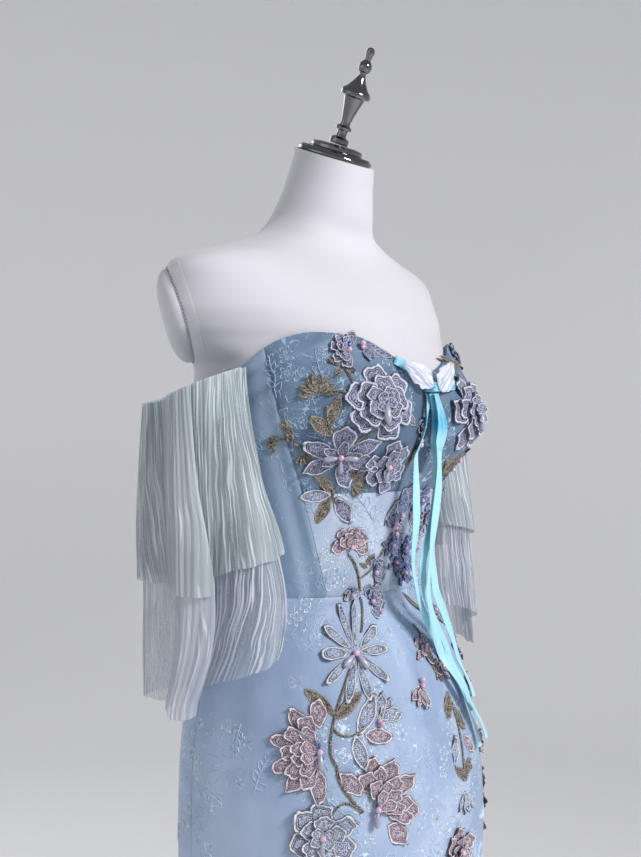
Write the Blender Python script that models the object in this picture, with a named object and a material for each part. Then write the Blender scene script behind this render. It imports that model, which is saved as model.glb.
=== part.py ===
"""A mermaid gown on a limbless dress form.

Metres, +Z up. The origin is on the floor under the form's pole. The gown faces -Y, and the
wearer's right side is -X. Angles go round the gown from the centre front, 0 degrees, towards
the wearer's left, so 180 degrees is the centre back.
"""

import itertools
import math
from collections import namedtuple

import bmesh
import bpy
from mathutils import Matrix, Vector
from mathutils.geometry import delaunay_2d_cdt

# Driving dimensions
WALL = 0.0015
SEAM_GAP = 0.0003
WAIST_Z = 1.040
UNDERBUST_Z = 1.131
HEM_Z = 0.015
COLUMN_DEG = 7.5
HEM_COLUMN_DEG = 5.0
CHART_RADIUS = 0.14

# The gown's outer sections: half width, depth to the front and depth to the back
Section = namedtuple("Section", "z side front back")
SECTIONS = (
    Section(0.015, 0.335, 0.305, 0.355),
    Section(0.180, 0.243, 0.222, 0.238),
    Section(0.330, 0.166, 0.152, 0.148),
    Section(0.470, 0.124, 0.112, 0.098),
    Section(0.560, 0.130, 0.122, 0.094),
    Section(0.700, 0.144, 0.143, 0.095),
    Section(0.820, 0.152, 0.154, 0.096),
    Section(0.880, 0.151, 0.151, 0.095),
    Section(0.940, 0.144, 0.139, 0.093),
    Section(0.990, 0.134, 0.119, 0.090),
    Section(1.040, 0.122, 0.094, 0.087),
    Section(1.085, 0.123, 0.098, 0.088),
    Section(1.131, 0.130, 0.105, 0.092),
    Section(1.200, 0.137, 0.116, 0.096),
    Section(1.243, 0.137, 0.112, 0.096),
    Section(1.290, 0.137, 0.107, 0.096),
)
ROUNDNESS = 2.2

# Moulded cups
CUP_ANGLE = 27.0
CUP_SPREAD_DEG = 18.0
CUP_Z = 1.197
CUP_DEPTH = 0.032
CUP_SPREAD_BELOW = 0.034
CUP_SPREAD_ABOVE = 0.040

# Flutes of the flared hem
FLUTES = 12
FLUTE_DEPTH = 0.021
FLUTE_TOP_Z = 0.400

# Neckline heights at angles from the centre front
Neck = namedtuple("Neck", "angle z")
NECKLINE = (
    Neck(0, 1.232),
    Neck(12, 1.243),
    Neck(38, 1.268),
    Neck(52, 1.2695),
    Neck(62, 1.265),
    Neck(70, 1.256),
    Neck(77, 1.243),
    Neck(100, 1.225),
    Neck(140, 1.208),
    Neck(180, 1.203),
)

# Seams, as the angle at the waist and the angle at the neckline
PRINCESS_WAIST_DEG = 46.0
PRINCESS_TOP_DEG = 70.0
BACK_SEAM_DEG = 112.5
SKIRT_SIDE_DEG = 97.5


def smooth(rows, at, column):
    """One column of a table, read smoothly between its rows. The first column is the place."""
    places = [row[0] for row in rows]
    values = [row[column] for row in rows]
    if at <= places[0]:
        return values[0]
    if at >= places[-1]:
        return values[-1]
    i = max(k for k in range(len(rows) - 1) if places[k] <= at)

    def slope(k):
        if k == 0 or k == len(rows) - 1:
            return 0.0
        before = (values[k] - values[k - 1]) / (places[k] - places[k - 1])
        after = (values[k + 1] - values[k]) / (places[k + 1] - places[k])
        if before * after <= 0:
            return 0.0
        return 2 * before * after / (before + after)

    width = places[i + 1] - places[i]
    t = (at - places[i]) / width
    return (
        (2 * t**3 - 3 * t**2 + 1) * values[i]
        + (t**3 - 2 * t**2 + t) * width * slope(i)
        + (-2 * t**3 + 3 * t**2) * values[i + 1]
        + (t**3 - t**2) * width * slope(i + 1)
    )


def bell(distance, spread):
    return math.exp(-((distance / spread) ** 2) / 2)


def ellipse_radius(angle, side, front, back):
    """Distance from the axis to a rounded section, at an angle in degrees."""
    s = abs(math.sin(math.radians(angle)))
    c = math.cos(math.radians(angle))
    depth = front if c > 0 else back
    return ((s / side) ** ROUNDNESS + (abs(c) / depth) ** ROUNDNESS) ** (-1 / ROUNDNESS)


def cup(angle, z):
    spread = CUP_SPREAD_BELOW if z < CUP_Z else CUP_SPREAD_ABOVE
    across = bell(abs(angle) - CUP_ANGLE, CUP_SPREAD_DEG)
    return CUP_DEPTH * across * bell(z - CUP_Z, spread)


def flute(angle, z):
    """Soft waves of the flare, uneven round the hem."""
    if z > FLUTE_TOP_Z:
        return 0.0
    fall = ((FLUTE_TOP_Z - z) / (FLUTE_TOP_Z - HEM_Z)) ** 1.4
    turn = math.radians(angle)
    wave = math.cos(FLUTES * turn + 0.5 * math.sin(2 * turn)) + 0.3 * math.cos(5 * turn + 1.0)
    return FLUTE_DEPTH * fall * wave / 1.3


def gown_radius(angle, z):
    """Outer surface of the plain gown, as a distance from the axis."""
    angle = (angle + 180) % 360 - 180
    size = [smooth(SECTIONS, z, column) for column in (1, 2, 3)]
    return ellipse_radius(angle, *size) + cup(angle, z) + flute(angle, z)


def neckline(angle):
    return smooth(NECKLINE, abs((angle + 180) % 360 - 180), 1)


def at(angle, z, radius):
    turn = math.radians(angle)
    return Vector((radius * math.sin(turn), -radius * math.cos(turn), z))


# Thick applique: flowers and leaves raised in the outer skin of the gown
Tier = namedtuple("Tier", "share petals notch sharp height")
KINDS = {
    "rose": (
        Tier(1.00, 8, 0.16, 0.5, 0.0022),
        Tier(0.62, 6, 0.18, 0.5, 0.0042),
        Tier(0.28, 5, 0.10, 0.5, 0.0060),
    ),
    "rosette": (Tier(1.00, 7, 0.18, 0.5, 0.0020), Tier(0.50, 5, 0.20, 0.5, 0.0036)),
    "peony": (Tier(1.00, 7, 0.24, 0.6, 0.0022), Tier(0.56, 5, 0.26, 0.6, 0.0038)),
    "star": (Tier(1.00, 6, 0.52, 1.0, 0.0022), Tier(0.22, 5, 0.10, 0.5, 0.0046)),
    "daisy": (Tier(1.00, 8, 0.60, 0.9, 0.0020), Tier(0.20, 5, 0.10, 0.5, 0.0044)),
    "fan": (Tier(1.00, 5, 0.26, 0.6, 0.0020), Tier(0.42, 4, 0.20, 0.6, 0.0034)),
    "bloom": (Tier(1.00, 5, 0.34, 0.7, 0.0020),),
    "leaf": (Tier(1.00, 0, 0.40, 1.4, 0.0016),),
}
Motif = namedtuple("Motif", "kind angle z size turn")
MOTIFS = (
    # Wearer's right cup
    Motif("fan", -41, 1.251, 0.034, 0),
    Motif("bloom", -42, 1.232, 0.018, 20),
    Motif("rose", -29, 1.209, 0.060, 10),
    Motif("fan", -50, 1.216, 0.028, 70),
    Motif("leaf", -45, 1.199, 0.022, 65),
    Motif("leaf", -49, 1.187, 0.024, -35),
    Motif("leaf", -60, 1.185, 0.018, -55),
    Motif("leaf", -65, 1.174, 0.016, 10),
    Motif("leaf", -56, 1.166, 0.020, -30),
    Motif("star", -42, 1.162, 0.056, 0),
    Motif("rosette", -21, 1.153, 0.044, 0),
    Motif("leaf", -6, 1.166, 0.022, 80),
    Motif("bloom", -6, 1.188, 0.018, 0),
    Motif("leaf", -19, 1.245, 0.020, 20),
    # Wearer's left cup
    Motif("rose", 24, 1.202, 0.056, 30),
    Motif("fan", 34, 1.253, 0.028, 0),
    Motif("leaf", 20, 1.250, 0.022, -15),
    Motif("leaf", 45, 1.245, 0.022, 60),
    Motif("bloom", 26, 1.158, 0.026, 15),
    Motif("leaf", 38, 1.152, 0.030, 50),
    # Midriff
    Motif("leaf", -48, 1.140, 0.022, -50),
    Motif("leaf", -35, 1.139, 0.026, 20),
    Motif("leaf", -51, 1.127, 0.026, 0),
    Motif("leaf", -48, 1.116, 0.024, 60),
    Motif("leaf", -39, 1.115, 0.030, -60),
    Motif("fan", -33, 1.090, 0.034, 0),
    Motif("leaf", -24, 1.072, 0.014, 45),
    Motif("leaf", -4, 1.119, 0.028, 80),
    Motif("bloom", -8, 1.099, 0.022, 0),
    Motif("fan", -15, 1.062, 0.024, 0),
    Motif("bloom", -33, 1.047, 0.014, 0),
    Motif("bloom", 3, 1.078, 0.028, 0),
    Motif("bloom", 5, 1.054, 0.026, 30),
    Motif("bloom", 14, 1.115, 0.028, 0),
    Motif("bloom", 27, 1.100, 0.028, 20),
    Motif("leaf", 34, 1.116, 0.024, 40),
    # Skirt
    Motif("fan", -15, 1.024, 0.026, 0),
    Motif("leaf", 12, 1.024, 0.026, -40),
    Motif("daisy", -35, 0.994, 0.072, 10),
    Motif("leaf", -49, 0.960, 0.026, -40),
    Motif("leaf", -38, 0.955, 0.026, 45),
    Motif("leaf", -31, 0.950, 0.026, 70),
    Motif("bloom", -24, 0.943, 0.026, 0),
    Motif("leaf", -29, 0.928, 0.026, 25),
    Motif("leaf", -37, 0.915, 0.022, 80),
    Motif("peony", -56, 0.918, 0.064, 0),
    Motif("peony", -26, 0.872, 0.066, 20),
    Motif("rosette", -48, 0.849, 0.056, 0),
    Motif("bloom", 2, 0.988, 0.026, 0),
    Motif("bloom", 9, 0.973, 0.022, 0),
    Motif("bloom", -9, 0.953, 0.026, 30),
    Motif("bloom", 30, 1.016, 0.024, 0),
    Motif("bloom", 37, 1.000, 0.022, 0),
    Motif("bloom", 34, 0.980, 0.024, 30),
    Motif("leaf", 5, 0.940, 0.022, 70),
    Motif("leaf", 11, 0.925, 0.022, 30),
    Motif("leaf", 4, 0.902, 0.024, 80),
    Motif("leaf", 14, 0.902, 0.020, 40),
    Motif("leaf", 5, 0.879, 0.020, -60),
    Motif("leaf", 13, 0.880, 0.020, 30),
    Motif("leaf", 3, 0.856, 0.020, -30),
    Motif("leaf", 12, 0.854, 0.020, 60),
    Motif("leaf", 7, 0.838, 0.018, 90),
    Motif("bloom", 4, 0.812, 0.034, 0),
    Motif("bloom", 32, 0.944, 0.024, 0),
    Motif("bloom", 31, 0.894, 0.022, 20),
)
RIM_SHARE = 0.86
Blob = namedtuple("Blob", "angle z reach scale petals notch sharp turn height")


def blobs():
    """Every tier of every motif, with its reach and the gown's radius under it."""
    found = []
    for motif in MOTIFS:
        scale = gown_radius(motif.angle, motif.z)
        for tier in KINDS[motif.kind]:
            reach = motif.size / 2 * tier.share
            shape = (tier.petals, tier.notch, tier.sharp, motif.turn, tier.height)
            found.append(Blob(motif.angle, motif.z, reach, scale, *shape))
    return found


def rim(blob, turn):
    """Distance from a blob's middle to its edge, in a direction in radians."""
    if blob.petals:
        lobe = abs(math.cos(blob.petals * turn / 2)) ** blob.sharp
        return blob.reach * (1 - blob.notch + blob.notch * lobe)
    along = (abs(math.cos(turn)) / blob.reach) ** blob.sharp
    across = (abs(math.sin(turn)) / (blob.reach * blob.notch)) ** blob.sharp
    return (along + across) ** (-1 / blob.sharp)


def outline(blob, share):
    """Angle and height of the points round a blob, at a share of its reach."""
    corners = 2 if blob.reach < FINE_REACH else 3 if blob.notch < 0.3 else 4
    count = corners * blob.petals or 6
    points = []
    for i in range(count):
        turn = math.tau * i / count
        if not blob.petals:
            turn = math.atan2(blob.notch * math.sin(turn), math.cos(turn))
        away = share * rim(blob, turn)
        lean = turn + math.radians(blob.turn)
        across = math.degrees(away * math.cos(lean) / blob.scale)
        points.append((blob.angle + across, blob.z + away * math.sin(lean)))
    return points


def relief(angle, z):
    """How far the applique stands out of the gown at a place."""
    height = 0.0
    for blob in BLOBS:
        if abs(z - blob.z) > blob.reach:
            continue
        across = math.radians(angle - blob.angle) * blob.scale
        away = math.hypot(across, z - blob.z)
        if away > blob.reach:
            continue
        turn = math.atan2(z - blob.z, across) - math.radians(blob.turn)
        share = away / rim(blob, turn)
        rise = min(1.0, (1 - share) / (1 - RIM_SHARE))
        height = max(height, blob.height * rise)
    return height


BLOBS = blobs()


# Building meshes
def add_object(name, points, faces, material):
    """One closed body, its faces turned outwards."""
    mesh = bpy.data.meshes.new(name)
    body = bmesh.new()
    corners = [body.verts.new(point) for point in points]
    for face in faces:
        body.faces.new([corners[i] for i in face])
    bmesh.ops.recalc_face_normals(body, faces=body.faces)
    body.to_mesh(mesh)
    body.free()
    mesh.materials.append(material)
    mesh.shade_smooth()
    mesh.set_sharp_from_angle(angle=math.radians(35))
    thing = bpy.data.objects.new(name, mesh)
    bpy.context.scene.collection.objects.link(thing)
    return thing


def loft(rings, ends=True):
    """Points and faces of closed rings joined in order, with a face over each end."""
    size = len(rings[0])
    points = [point for ring in rings for point in ring]
    faces = []
    for k in range(len(rings) - 1):
        for i in range(size):
            j = (i + 1) % size
            faces.append((k * size + i, k * size + j, (k + 1) * size + j, (k + 1) * size + i))
    if ends:
        faces.append(tuple(range(size)))
        faces.append(tuple(range((len(rings) - 1) * size, len(rings) * size)))
    return points, faces


def walled_tube(outer, inner):
    """Points and faces of an open tube with a wall, from its outer and inner rings."""
    points, faces = loft(list(outer) + list(reversed(inner)), ends=False)
    size = len(outer[0])
    last = (2 * len(outer) - 1) * size
    for i in range(size):
        j = (i + 1) % size
        faces.append((last + i, last + j, j, i))
    return points, faces


def make_material(name, colour, roughness, metallic=0.0):
    material = bpy.data.materials.new(name)
    material.use_nodes = True
    shader = material.node_tree.nodes["Principled BSDF"]
    shader.inputs["Base Color"].default_value = (*colour, 1)
    shader.inputs["Roughness"].default_value = roughness
    shader.inputs["Metallic"].default_value = metallic
    return material


# Gown panels, triangulated in a flat chart of arc length and height
BODICE_ROWS = (1.070, 1.100, 1.131, 1.157, 1.184, 1.210, 1.238)
SKIRT_ROWS = (0.060, 0.120, 0.190, 0.270, 0.350, 0.440, 0.520, 0.620)
HIP_ROWS = (0.720, 0.800, 0.860, 0.910, 0.950, 0.985, 1.012)
PLAIN_BELOW_Z = 0.70
FINE_REACH = 0.020
LEAST_GAP = 0.005


def chart(angle, z):
    return math.radians(angle) * CHART_RADIUS, z


def seam_angle(ends, z):
    """Angle of a bodice seam that leans between the waist and the neckline."""
    share = (z - WAIST_Z) / (neckline(ends[1]) - WAIST_Z)
    return ends[0] + (ends[1] - ends[0]) * min(share, 1.0)


def triangulate(places, edges):
    made = delaunay_2d_cdt([Vector(chart(*p)) for p in places], edges, [], 1, 1e-6)
    points = [(math.degrees(v.x / CHART_RADIUS), v.y) for v in made[0]]
    return points, made[2]


def loop_edges(first, count):
    return [(first + i, first + (i + 1) % count) for i in range(count)]


def inside(place, border):
    """True where a place lies within the closed border, by counting crossings."""
    x, y = chart(*place)
    found = False
    for i in range(len(border)):
        (ax, ay), (bx, by) = chart(*border[i - 1]), chart(*border[i])
        if (ay > y) != (by > y) and x < (bx - ax) * (y - ay) / (by - ay) + ax:
            found = not found
    return found


def border_of(triangles):
    """The points round the edge of a patch, in order."""
    after = {}
    for face in triangles:
        for i in range(3):
            after[(face[i - 1], face[i])] = None
    onward = {a: b for a, b in after if (b, a) not in after}
    start = next(iter(onward))
    loop = [start]
    while onward[loop[-1]] != start:
        loop.append(onward[loop[-1]])
    return loop


def panel_border(left, right, low, high, rows):
    """Places round a panel, each seam edge drawn back by half the gap between panels."""
    half = SEAM_GAP / 2
    bottom = low + (half if low > HEM_Z else 0.0)

    def ends(z):
        aside = math.degrees(half / gown_radius(seam_angle(left, z), z))
        return seam_angle(left, z) + aside, seam_angle(right, z) - aside

    def top(angle):
        return high - half if high else neckline(angle)

    border = []
    step = HEM_COLUMN_DEG if low < FLUTE_TOP_Z else COLUMN_DEG
    first, last = ends(bottom)
    border.append((first, bottom))
    column = math.ceil((first + 1) / step)
    while column * step < last - 1:
        border.append((column * step, bottom))
        column += 1
    for side in (1, 0):
        peak = top((left, right)[side][1])
        heights = [bottom] + [z for z in rows if bottom + LEAST_GAP < z < peak - LEAST_GAP]
        heights.append(peak)
        edge = [(ends(z)[side], z) for z in heights]
        if side:
            border += edge
            column = math.floor((edge[-1][0] - 1) / COLUMN_DEG)
            while column * COLUMN_DEG > ends(top(left[1]))[0] + 1:
                border.append((column * COLUMN_DEG, top(column * COLUMN_DEG)))
                column -= 1
        else:
            border += list(reversed(edge))[:-1]
    return border, top


def panel_grid(left, right, low, top, rows):
    """Places inside a panel, clear of its edges."""
    grid = []
    for z in rows:
        step = HEM_COLUMN_DEG if z < FLUTE_TOP_Z else COLUMN_DEG
        first, last = seam_angle(left, z), seam_angle(right, z)
        for column in range(math.ceil((first + 2) / step), math.floor((last - 2) / step) + 1):
            angle = column * step
            if low + LEAST_GAP < z < top(angle) - LEAST_GAP:
                grid.append((angle, z))
    return grid


def panel(name, left, right, low, high, rows, material):
    """A curved wall between two seams: plain inside, its applique raised outside."""
    border, top = panel_border(left, right, low, high, rows)
    grid = panel_grid(left, right, low, top, rows)
    plain, faces = triangulate(border + grid, loop_edges(0, len(border)))
    kept = {
        tuple(sorted((face[i - 1], face[i])))
        for face in faces
        for i in range(3)
        if max(plain[face[i - 1]][1], plain[face[i]][1]) < PLAIN_BELOW_Z
    }
    low_places = {i: k for k, i in enumerate(sorted({i for edge in kept for i in edge}))}
    low_edges = [(low_places[a], low_places[b]) for a, b in sorted(kept)]
    low_points = [plain[i] for i in low_places]

    places = list(border)
    edges = loop_edges(0, len(border))
    edges += [(a + len(places), b + len(places)) for a, b in low_edges]
    places += low_points
    places += [p for p in grid if p[1] >= PLAIN_BELOW_Z and not relief(*p)]
    for blob in BLOBS:
        ring = outline(blob, 1.0)
        if any(inside(p, border) for p in ring):
            for share in (1.0, RIM_SHARE):
                ring = outline(blob, share)
                edges += loop_edges(len(places), len(ring))
                places += ring
            if blob.petals:
                places.append((blob.angle, blob.z))
    outer, faces = triangulate(places, edges)
    faces = [
        face
        for face in faces
        if inside([sum(outer[i][k] for i in face) / 3 for k in (0, 1)], border)
    ]
    used = {i: k for k, i in enumerate(sorted({i for face in faces for i in face}))}
    outer = [outer[i] for i in used]
    faces = [[used[i] for i in face] for face in faces]
    loop = border_of(faces)

    rim_places = [outer[i] for i in loop]
    places = rim_places + low_points + [p for p in grid if p[1] >= PLAIN_BELOW_Z]
    edges = loop_edges(0, len(loop))
    edges += [(a + len(loop), b + len(loop)) for a, b in low_edges]
    inner, inner_faces = triangulate(places, edges)
    inner_loop = border_of(inner_faces)
    shift = len(outer)
    near = {}
    for i in inner_loop:
        spot = min(loop, key=lambda j: math.dist(chart(*outer[j]), chart(*inner[i])))
        near[spot] = i + shift
    points = [at(a, z, gown_radius(a, z) + relief(a, z)) for a, z in outer]
    points += [at(a, z, gown_radius(a, z) - WALL) for a, z in inner]
    everything = list(faces) + [[i + shift for i in face] for face in inner_faces]
    for i in range(len(loop)):
        a, b = loop[i - 1], loop[i]
        everything.append((a, b, near[b], near[a]))
    return add_object(name, points, everything, material)


def build_gown(bodice, skirt):
    princess = (PRINCESS_WAIST_DEG, PRINCESS_TOP_DEG)
    far_princess = (-PRINCESS_WAIST_DEG, -PRINCESS_TOP_DEG)
    centre = (0.0, 0.0)
    rear = (BACK_SEAM_DEG, BACK_SEAM_DEG)
    far_rear = (-BACK_SEAM_DEG, -BACK_SEAM_DEG)
    end = (180.0, 180.0)
    far_end = (-180.0, -180.0)
    side = (SKIRT_SIDE_DEG, SKIRT_SIDE_DEG)
    far_side = (-SKIRT_SIDE_DEG, -SKIRT_SIDE_DEG)
    skirt_rows = SKIRT_ROWS + HIP_ROWS
    cuts = (
        ("cup_right", far_princess, centre, UNDERBUST_Z, None, BODICE_ROWS, bodice),
        ("cup_left", centre, princess, UNDERBUST_Z, None, BODICE_ROWS, bodice),
        ("midriff_front", far_princess, princess, WAIST_Z, UNDERBUST_Z, BODICE_ROWS, bodice),
        ("side_right", far_rear, far_princess, WAIST_Z, None, BODICE_ROWS, bodice),
        ("side_left", princess, rear, WAIST_Z, None, BODICE_ROWS, bodice),
        ("back_right", far_end, far_rear, WAIST_Z, None, BODICE_ROWS, bodice),
        ("back_left", rear, end, WAIST_Z, None, BODICE_ROWS, bodice),
        ("skirt_front", far_side, side, HEM_Z, WAIST_Z, skirt_rows, skirt),
        ("skirt_back_right", far_end, far_side, HEM_Z, WAIST_Z, skirt_rows, skirt),
        ("skirt_back_left", side, end, HEM_Z, WAIST_Z, skirt_rows, skirt),
    )
    for cut in cuts:
        panel(*cut)


# Off-the-shoulder sleeves: two pleated tiers hung from a band
SLEEVE_WALL = 0.0018
BAND_HEIGHT = 0.036
SLEEVE_TOP_Z = 1.2455
SLEEVE_FALL_OUTWARDS = 0.0208
SLEEVE_FALL_BACKWARDS = 0.0226
SLEEVE_ROUNDNESS = 2.6
PLEATS = 28
PLEAT_TOP_DEPTH = 0.0011
PLEAT_HEM_DEPTH = 0.0026
TIER_GAP = 0.0042
# How far the loop reaches from the gown's middle: towards it, away, to the front and back
Loop = namedtuple("Loop", "z near far front back")
SLEEVE_LOOPS = {
    "right": (
        Loop(0.955, 0.1500, 0.207, 0.068, 0.040),
        Loop(0.985, 0.1470, 0.211, 0.080, 0.041),
        Loop(1.040, 0.1350, 0.214, 0.107, 0.042),
        Loop(1.090, 0.1350, 0.214, 0.097, 0.042),
        Loop(1.150, 0.1380, 0.210, 0.072, 0.040),
        Loop(1.243, 0.1388, 0.2060, 0.0535, 0.036),
    ),
    "left": (
        Loop(0.955, 0.1550, 0.228, 0.056, 0.060),
        Loop(0.985, 0.1500, 0.224, 0.057, 0.062),
        Loop(1.040, 0.1380, 0.214, 0.058, 0.064),
        Loop(1.090, 0.1360, 0.209, 0.056, 0.060),
        Loop(1.150, 0.1380, 0.204, 0.050, 0.055),
        Loop(1.243, 0.1388, 0.2010, 0.0470, 0.045),
    ),
}
Fold = namedtuple("Fold", "turn depth spread")
SLEEVE_FOLDS = (
    Fold(-75, 0.012, 15),
    Fold(-38, -0.006, 12),
    Fold(-8, 0.007, 14),
    Fold(-112, -0.005, 13),
    Fold(-145, 0.008, 15),
    Fold(165, 0.006, 14),
)
TierCut = namedtuple("TierCut", "name outer_z front_z inset starts rows")
UPPER_TIER = TierCut("upper", 1.058, 1.088, 0.0, 0.0, (0.0, 0.22, 0.60, 1.0))
LOWER_TIER = TierCut(
    "lower", 0.958, 0.982, SLEEVE_WALL + TIER_GAP, BAND_HEIGHT, (0.0, 0.30, 0.65, 1.0)
)
# Folds fade out on the side that lies against the gown, and the hem rises to the front
FOLD_FREE_OF_GOWN = -0.75
HEM_RISE_REACH = 1.4


def sleeve_top(turn):
    """The top edge falls outwards and backwards. Turns go as on the gown, 90 degrees outwards."""
    outwards = (1 + math.sin(math.radians(turn))) / 2
    backwards = (1 - math.cos(math.radians(turn))) / 2
    return SLEEVE_TOP_Z - SLEEVE_FALL_OUTWARDS * outwards - SLEEVE_FALL_BACKWARDS * backwards


def sleeve_point(word, turn, z, inset, pleat):
    """How far out and forwards a place on a sleeve is, inset from the sleeve's outer skin."""
    loops = SLEEVE_LOOPS[word]
    near, far, front, back = [smooth(loops, z, column) for column in (1, 2, 3, 4)]
    s, c = math.sin(math.radians(turn)), math.cos(math.radians(turn))
    power = SLEEVE_ROUNDNESS
    half = ((far - near) / 2, (front + back) / 2)
    radius = ((abs(s) / half[0]) ** power + (abs(c) / half[1]) ** power) ** (-1 / power)
    depth = (SLEEVE_TOP_Z - z) / (SLEEVE_TOP_Z - LOWER_TIER.outer_z)
    for fold in SLEEVE_FOLDS:
        aside = (-turn - fold.turn + 180) % 360 - 180
        radius += fold.depth * depth * bell(aside, fold.spread) * (s > FOLD_FREE_OF_GOWN)
    radius += pleat * (PLEAT_TOP_DEPTH + (PLEAT_HEM_DEPTH - PLEAT_TOP_DEPTH) * depth) - inset
    x = (far + near) / 2 + radius * s
    y = -(front - back) / 2 - radius * c
    return x, y


def sleeve_ring(word, turns, heights, inset, pleated=True):
    ring = []
    for i, (turn, z) in enumerate(zip(turns, heights)):
        pleat = (1 if i % 2 else -1) if pleated else 0
        x, y = sleeve_point(word, turn, z, inset, pleat)
        ring.append(Vector((x if word == "left" else -x, y, z)))
    return ring


def tier_heights(cut, turn, share):
    top = sleeve_top(turn) - (cut.starts + SEAM_GAP if cut.starts else 0.0)
    frontness = max(0.0, math.cos(math.radians(turn))) * (1 - math.sin(math.radians(turn))) / 2
    hem = cut.outer_z + (cut.front_z - cut.outer_z) * min(1.0, HEM_RISE_REACH * frontness)
    return top + (hem - top) * share


def build_sleeves(tulle, band):
    count = 2 * PLEATS
    turns = [360 * i / count for i in range(count)]
    for word in ("left", "right"):
        for cut in (UPPER_TIER, LOWER_TIER):
            skins = []
            for inset in (cut.inset, cut.inset + SLEEVE_WALL):
                rings = []
                for share in cut.rows:
                    heights = [tier_heights(cut, turn, share) for turn in turns]
                    rings.append(sleeve_ring(word, turns, heights, inset))
                skins.append(rings)
            add_object(f"sleeve_{word}_{cut.name}", *walled_tube(*skins), tulle)
        skins = []
        top_inset = PLEAT_TOP_DEPTH * 2 + SLEEVE_WALL + SEAM_GAP
        for inset in (top_inset, top_inset + WALL):
            rings = []
            for drop in (0.0, BAND_HEIGHT):
                heights = [sleeve_top(turn) - drop for turn in turns[::2]]
                rings.append(sleeve_ring(word, turns[::2], heights, inset, pleated=False))
            skins.append(rings)
        add_object(f"sleeve_{word}_band", *walled_tube(*skins), band)


# The dress form
FORM_BOTTOM_Z = 0.800
WAIST_CLEARANCE = 0.0006
CLEARANCE = 0.0022
FormSection = namedtuple("FormSection", "z side front back arm shift tilt")
FORM_TOP = (
    FormSection(1.243, 0.1370, 0.1120, 0.0960, 0.000, 0.000, 0.0),
    FormSection(1.252, 0.1350, 0.1090, 0.0960, 0.014, 0.000, 0.0),
    FormSection(1.262, 0.1360, 0.1060, 0.0955, 0.022, 0.000, 0.0),
    FormSection(1.275, 0.1400, 0.1000, 0.0950, 0.027, 0.000, 0.0),
    FormSection(1.292, 0.1440, 0.0920, 0.0920, 0.028, 0.000, 0.0),
    FormSection(1.312, 0.1460, 0.0790, 0.0860, 0.027, 0.000, 0.0),
    FormSection(1.330, 0.1430, 0.0650, 0.0770, 0.031, 0.000, 0.0),
    FormSection(1.341, 0.1330, 0.0560, 0.0690, 0.026, 0.000, 0.0),
    FormSection(1.350, 0.1120, 0.0500, 0.0620, 0.012, 0.000, 0.0),
    FormSection(1.360, 0.0850, 0.0465, 0.0560, 0.003, 0.000, 0.0),
    FormSection(1.371, 0.0620, 0.0455, 0.0500, 0.000, -0.001, 3.0),
    FormSection(1.385, 0.0490, 0.0455, 0.0465, 0.000, -0.005, 7.0),
    FormSection(1.402, 0.0430, 0.0425, 0.0430, 0.000, -0.011, 12.0),
    FormSection(1.422, 0.0385, 0.0390, 0.0395, 0.000, -0.016, 17.0),
    FormSection(1.444, 0.0360, 0.0370, 0.0370, 0.000, -0.020, 21.0),
)
ARM_ANGLE = 98.0
ARM_SPREAD_DEG = 13.0
CHEST_SNUG_Z = 1.266
CHEST_FREE_Z = 1.290
FORM_ROWS = (0.880, 0.950, 0.985, 1.012, 1.040, 1.070, 1.100, 1.131, 1.157, 1.184, 1.210)
FORM_COLUMN_DEG = 10.0
ARM_CENTRE = (0.1665, 0.0200, 1.2950)
ARM_BACKWARDS_DEG = 40.0
ARM_DOWNWARDS_DEG = 16.0
CAP_DEPTH = 0.015
CAP_FULLNESS = 0.35
CAP_STEPS = 5


def form_radius(angle, z):
    """The form inside the gown: the gown's own sections, drawn in by its wall and a clearance."""
    ease = CLEARANCE - (CLEARANCE - WAIST_CLEARANCE) * bell(z - WAIST_Z, 0.030)
    return gown_radius(angle, z) - WALL - ease


def form_ring(section):
    ring = []
    for i in range(int(360 / FORM_COLUMN_DEG)):
        angle = i * FORM_COLUMN_DEG
        size = (section.side, section.front, section.back)
        fade = min(1.0, max(0.0, (CHEST_FREE_Z - section.z) / (CHEST_FREE_Z - CHEST_SNUG_Z)))
        radius = ellipse_radius(angle, *size) - (WALL + CLEARANCE) * fade
        signed = (angle + 180) % 360 - 180
        radius += cup(signed, section.z)
        radius += section.arm * bell(abs(signed) - ARM_ANGLE, ARM_SPREAD_DEG)
        place = at(angle, section.z, radius)
        place.z += place.y * math.tan(math.radians(section.tilt))
        place.y += section.shift
        ring.append(place)
    return ring


def cut_arms(thing):
    """Cuts the armholes flat and gives each cut's border, as places in order."""
    body = bmesh.new()
    body.from_mesh(thing.data)
    borders = {}
    for side, word in ((1, "left"), (-1, "right")):
        back, down = math.radians(ARM_BACKWARDS_DEG), math.radians(ARM_DOWNWARDS_DEG)
        level = math.cos(down)
        outwards = Vector((side * math.cos(back) * level, math.sin(back) * level, -math.sin(down)))
        centre = Vector((side * ARM_CENTRE[0], *ARM_CENTRE[1:]))
        lowest = SECTIONS[-2].z - 0.0005
        near = [v for v in body.verts if v.co.z > lowest and side * v.co.x > 0.05]
        chosen = set(near)
        edges = [e for e in body.edges if chosen.issuperset(e.verts)]
        faces = [f for f in body.faces if chosen.issuperset(f.verts)]
        cut = bmesh.ops.bisect_plane(
            body,
            geom=near + edges + faces,
            dist=1e-6,
            plane_co=centre,
            plane_no=outwards,
            clear_outer=True,
        )
        rim_edges = [g for g in cut["geom_cut"] if isinstance(g, bmesh.types.BMEdge)]
        made = bmesh.ops.contextual_create(body, geom=rim_edges)
        borders[word] = ([v.co.copy() for v in made["faces"][0].verts], outwards)
    bmesh.ops.recalc_face_normals(body, faces=body.faces)
    body.to_mesh(thing.data)
    body.free()
    return borders


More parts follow.
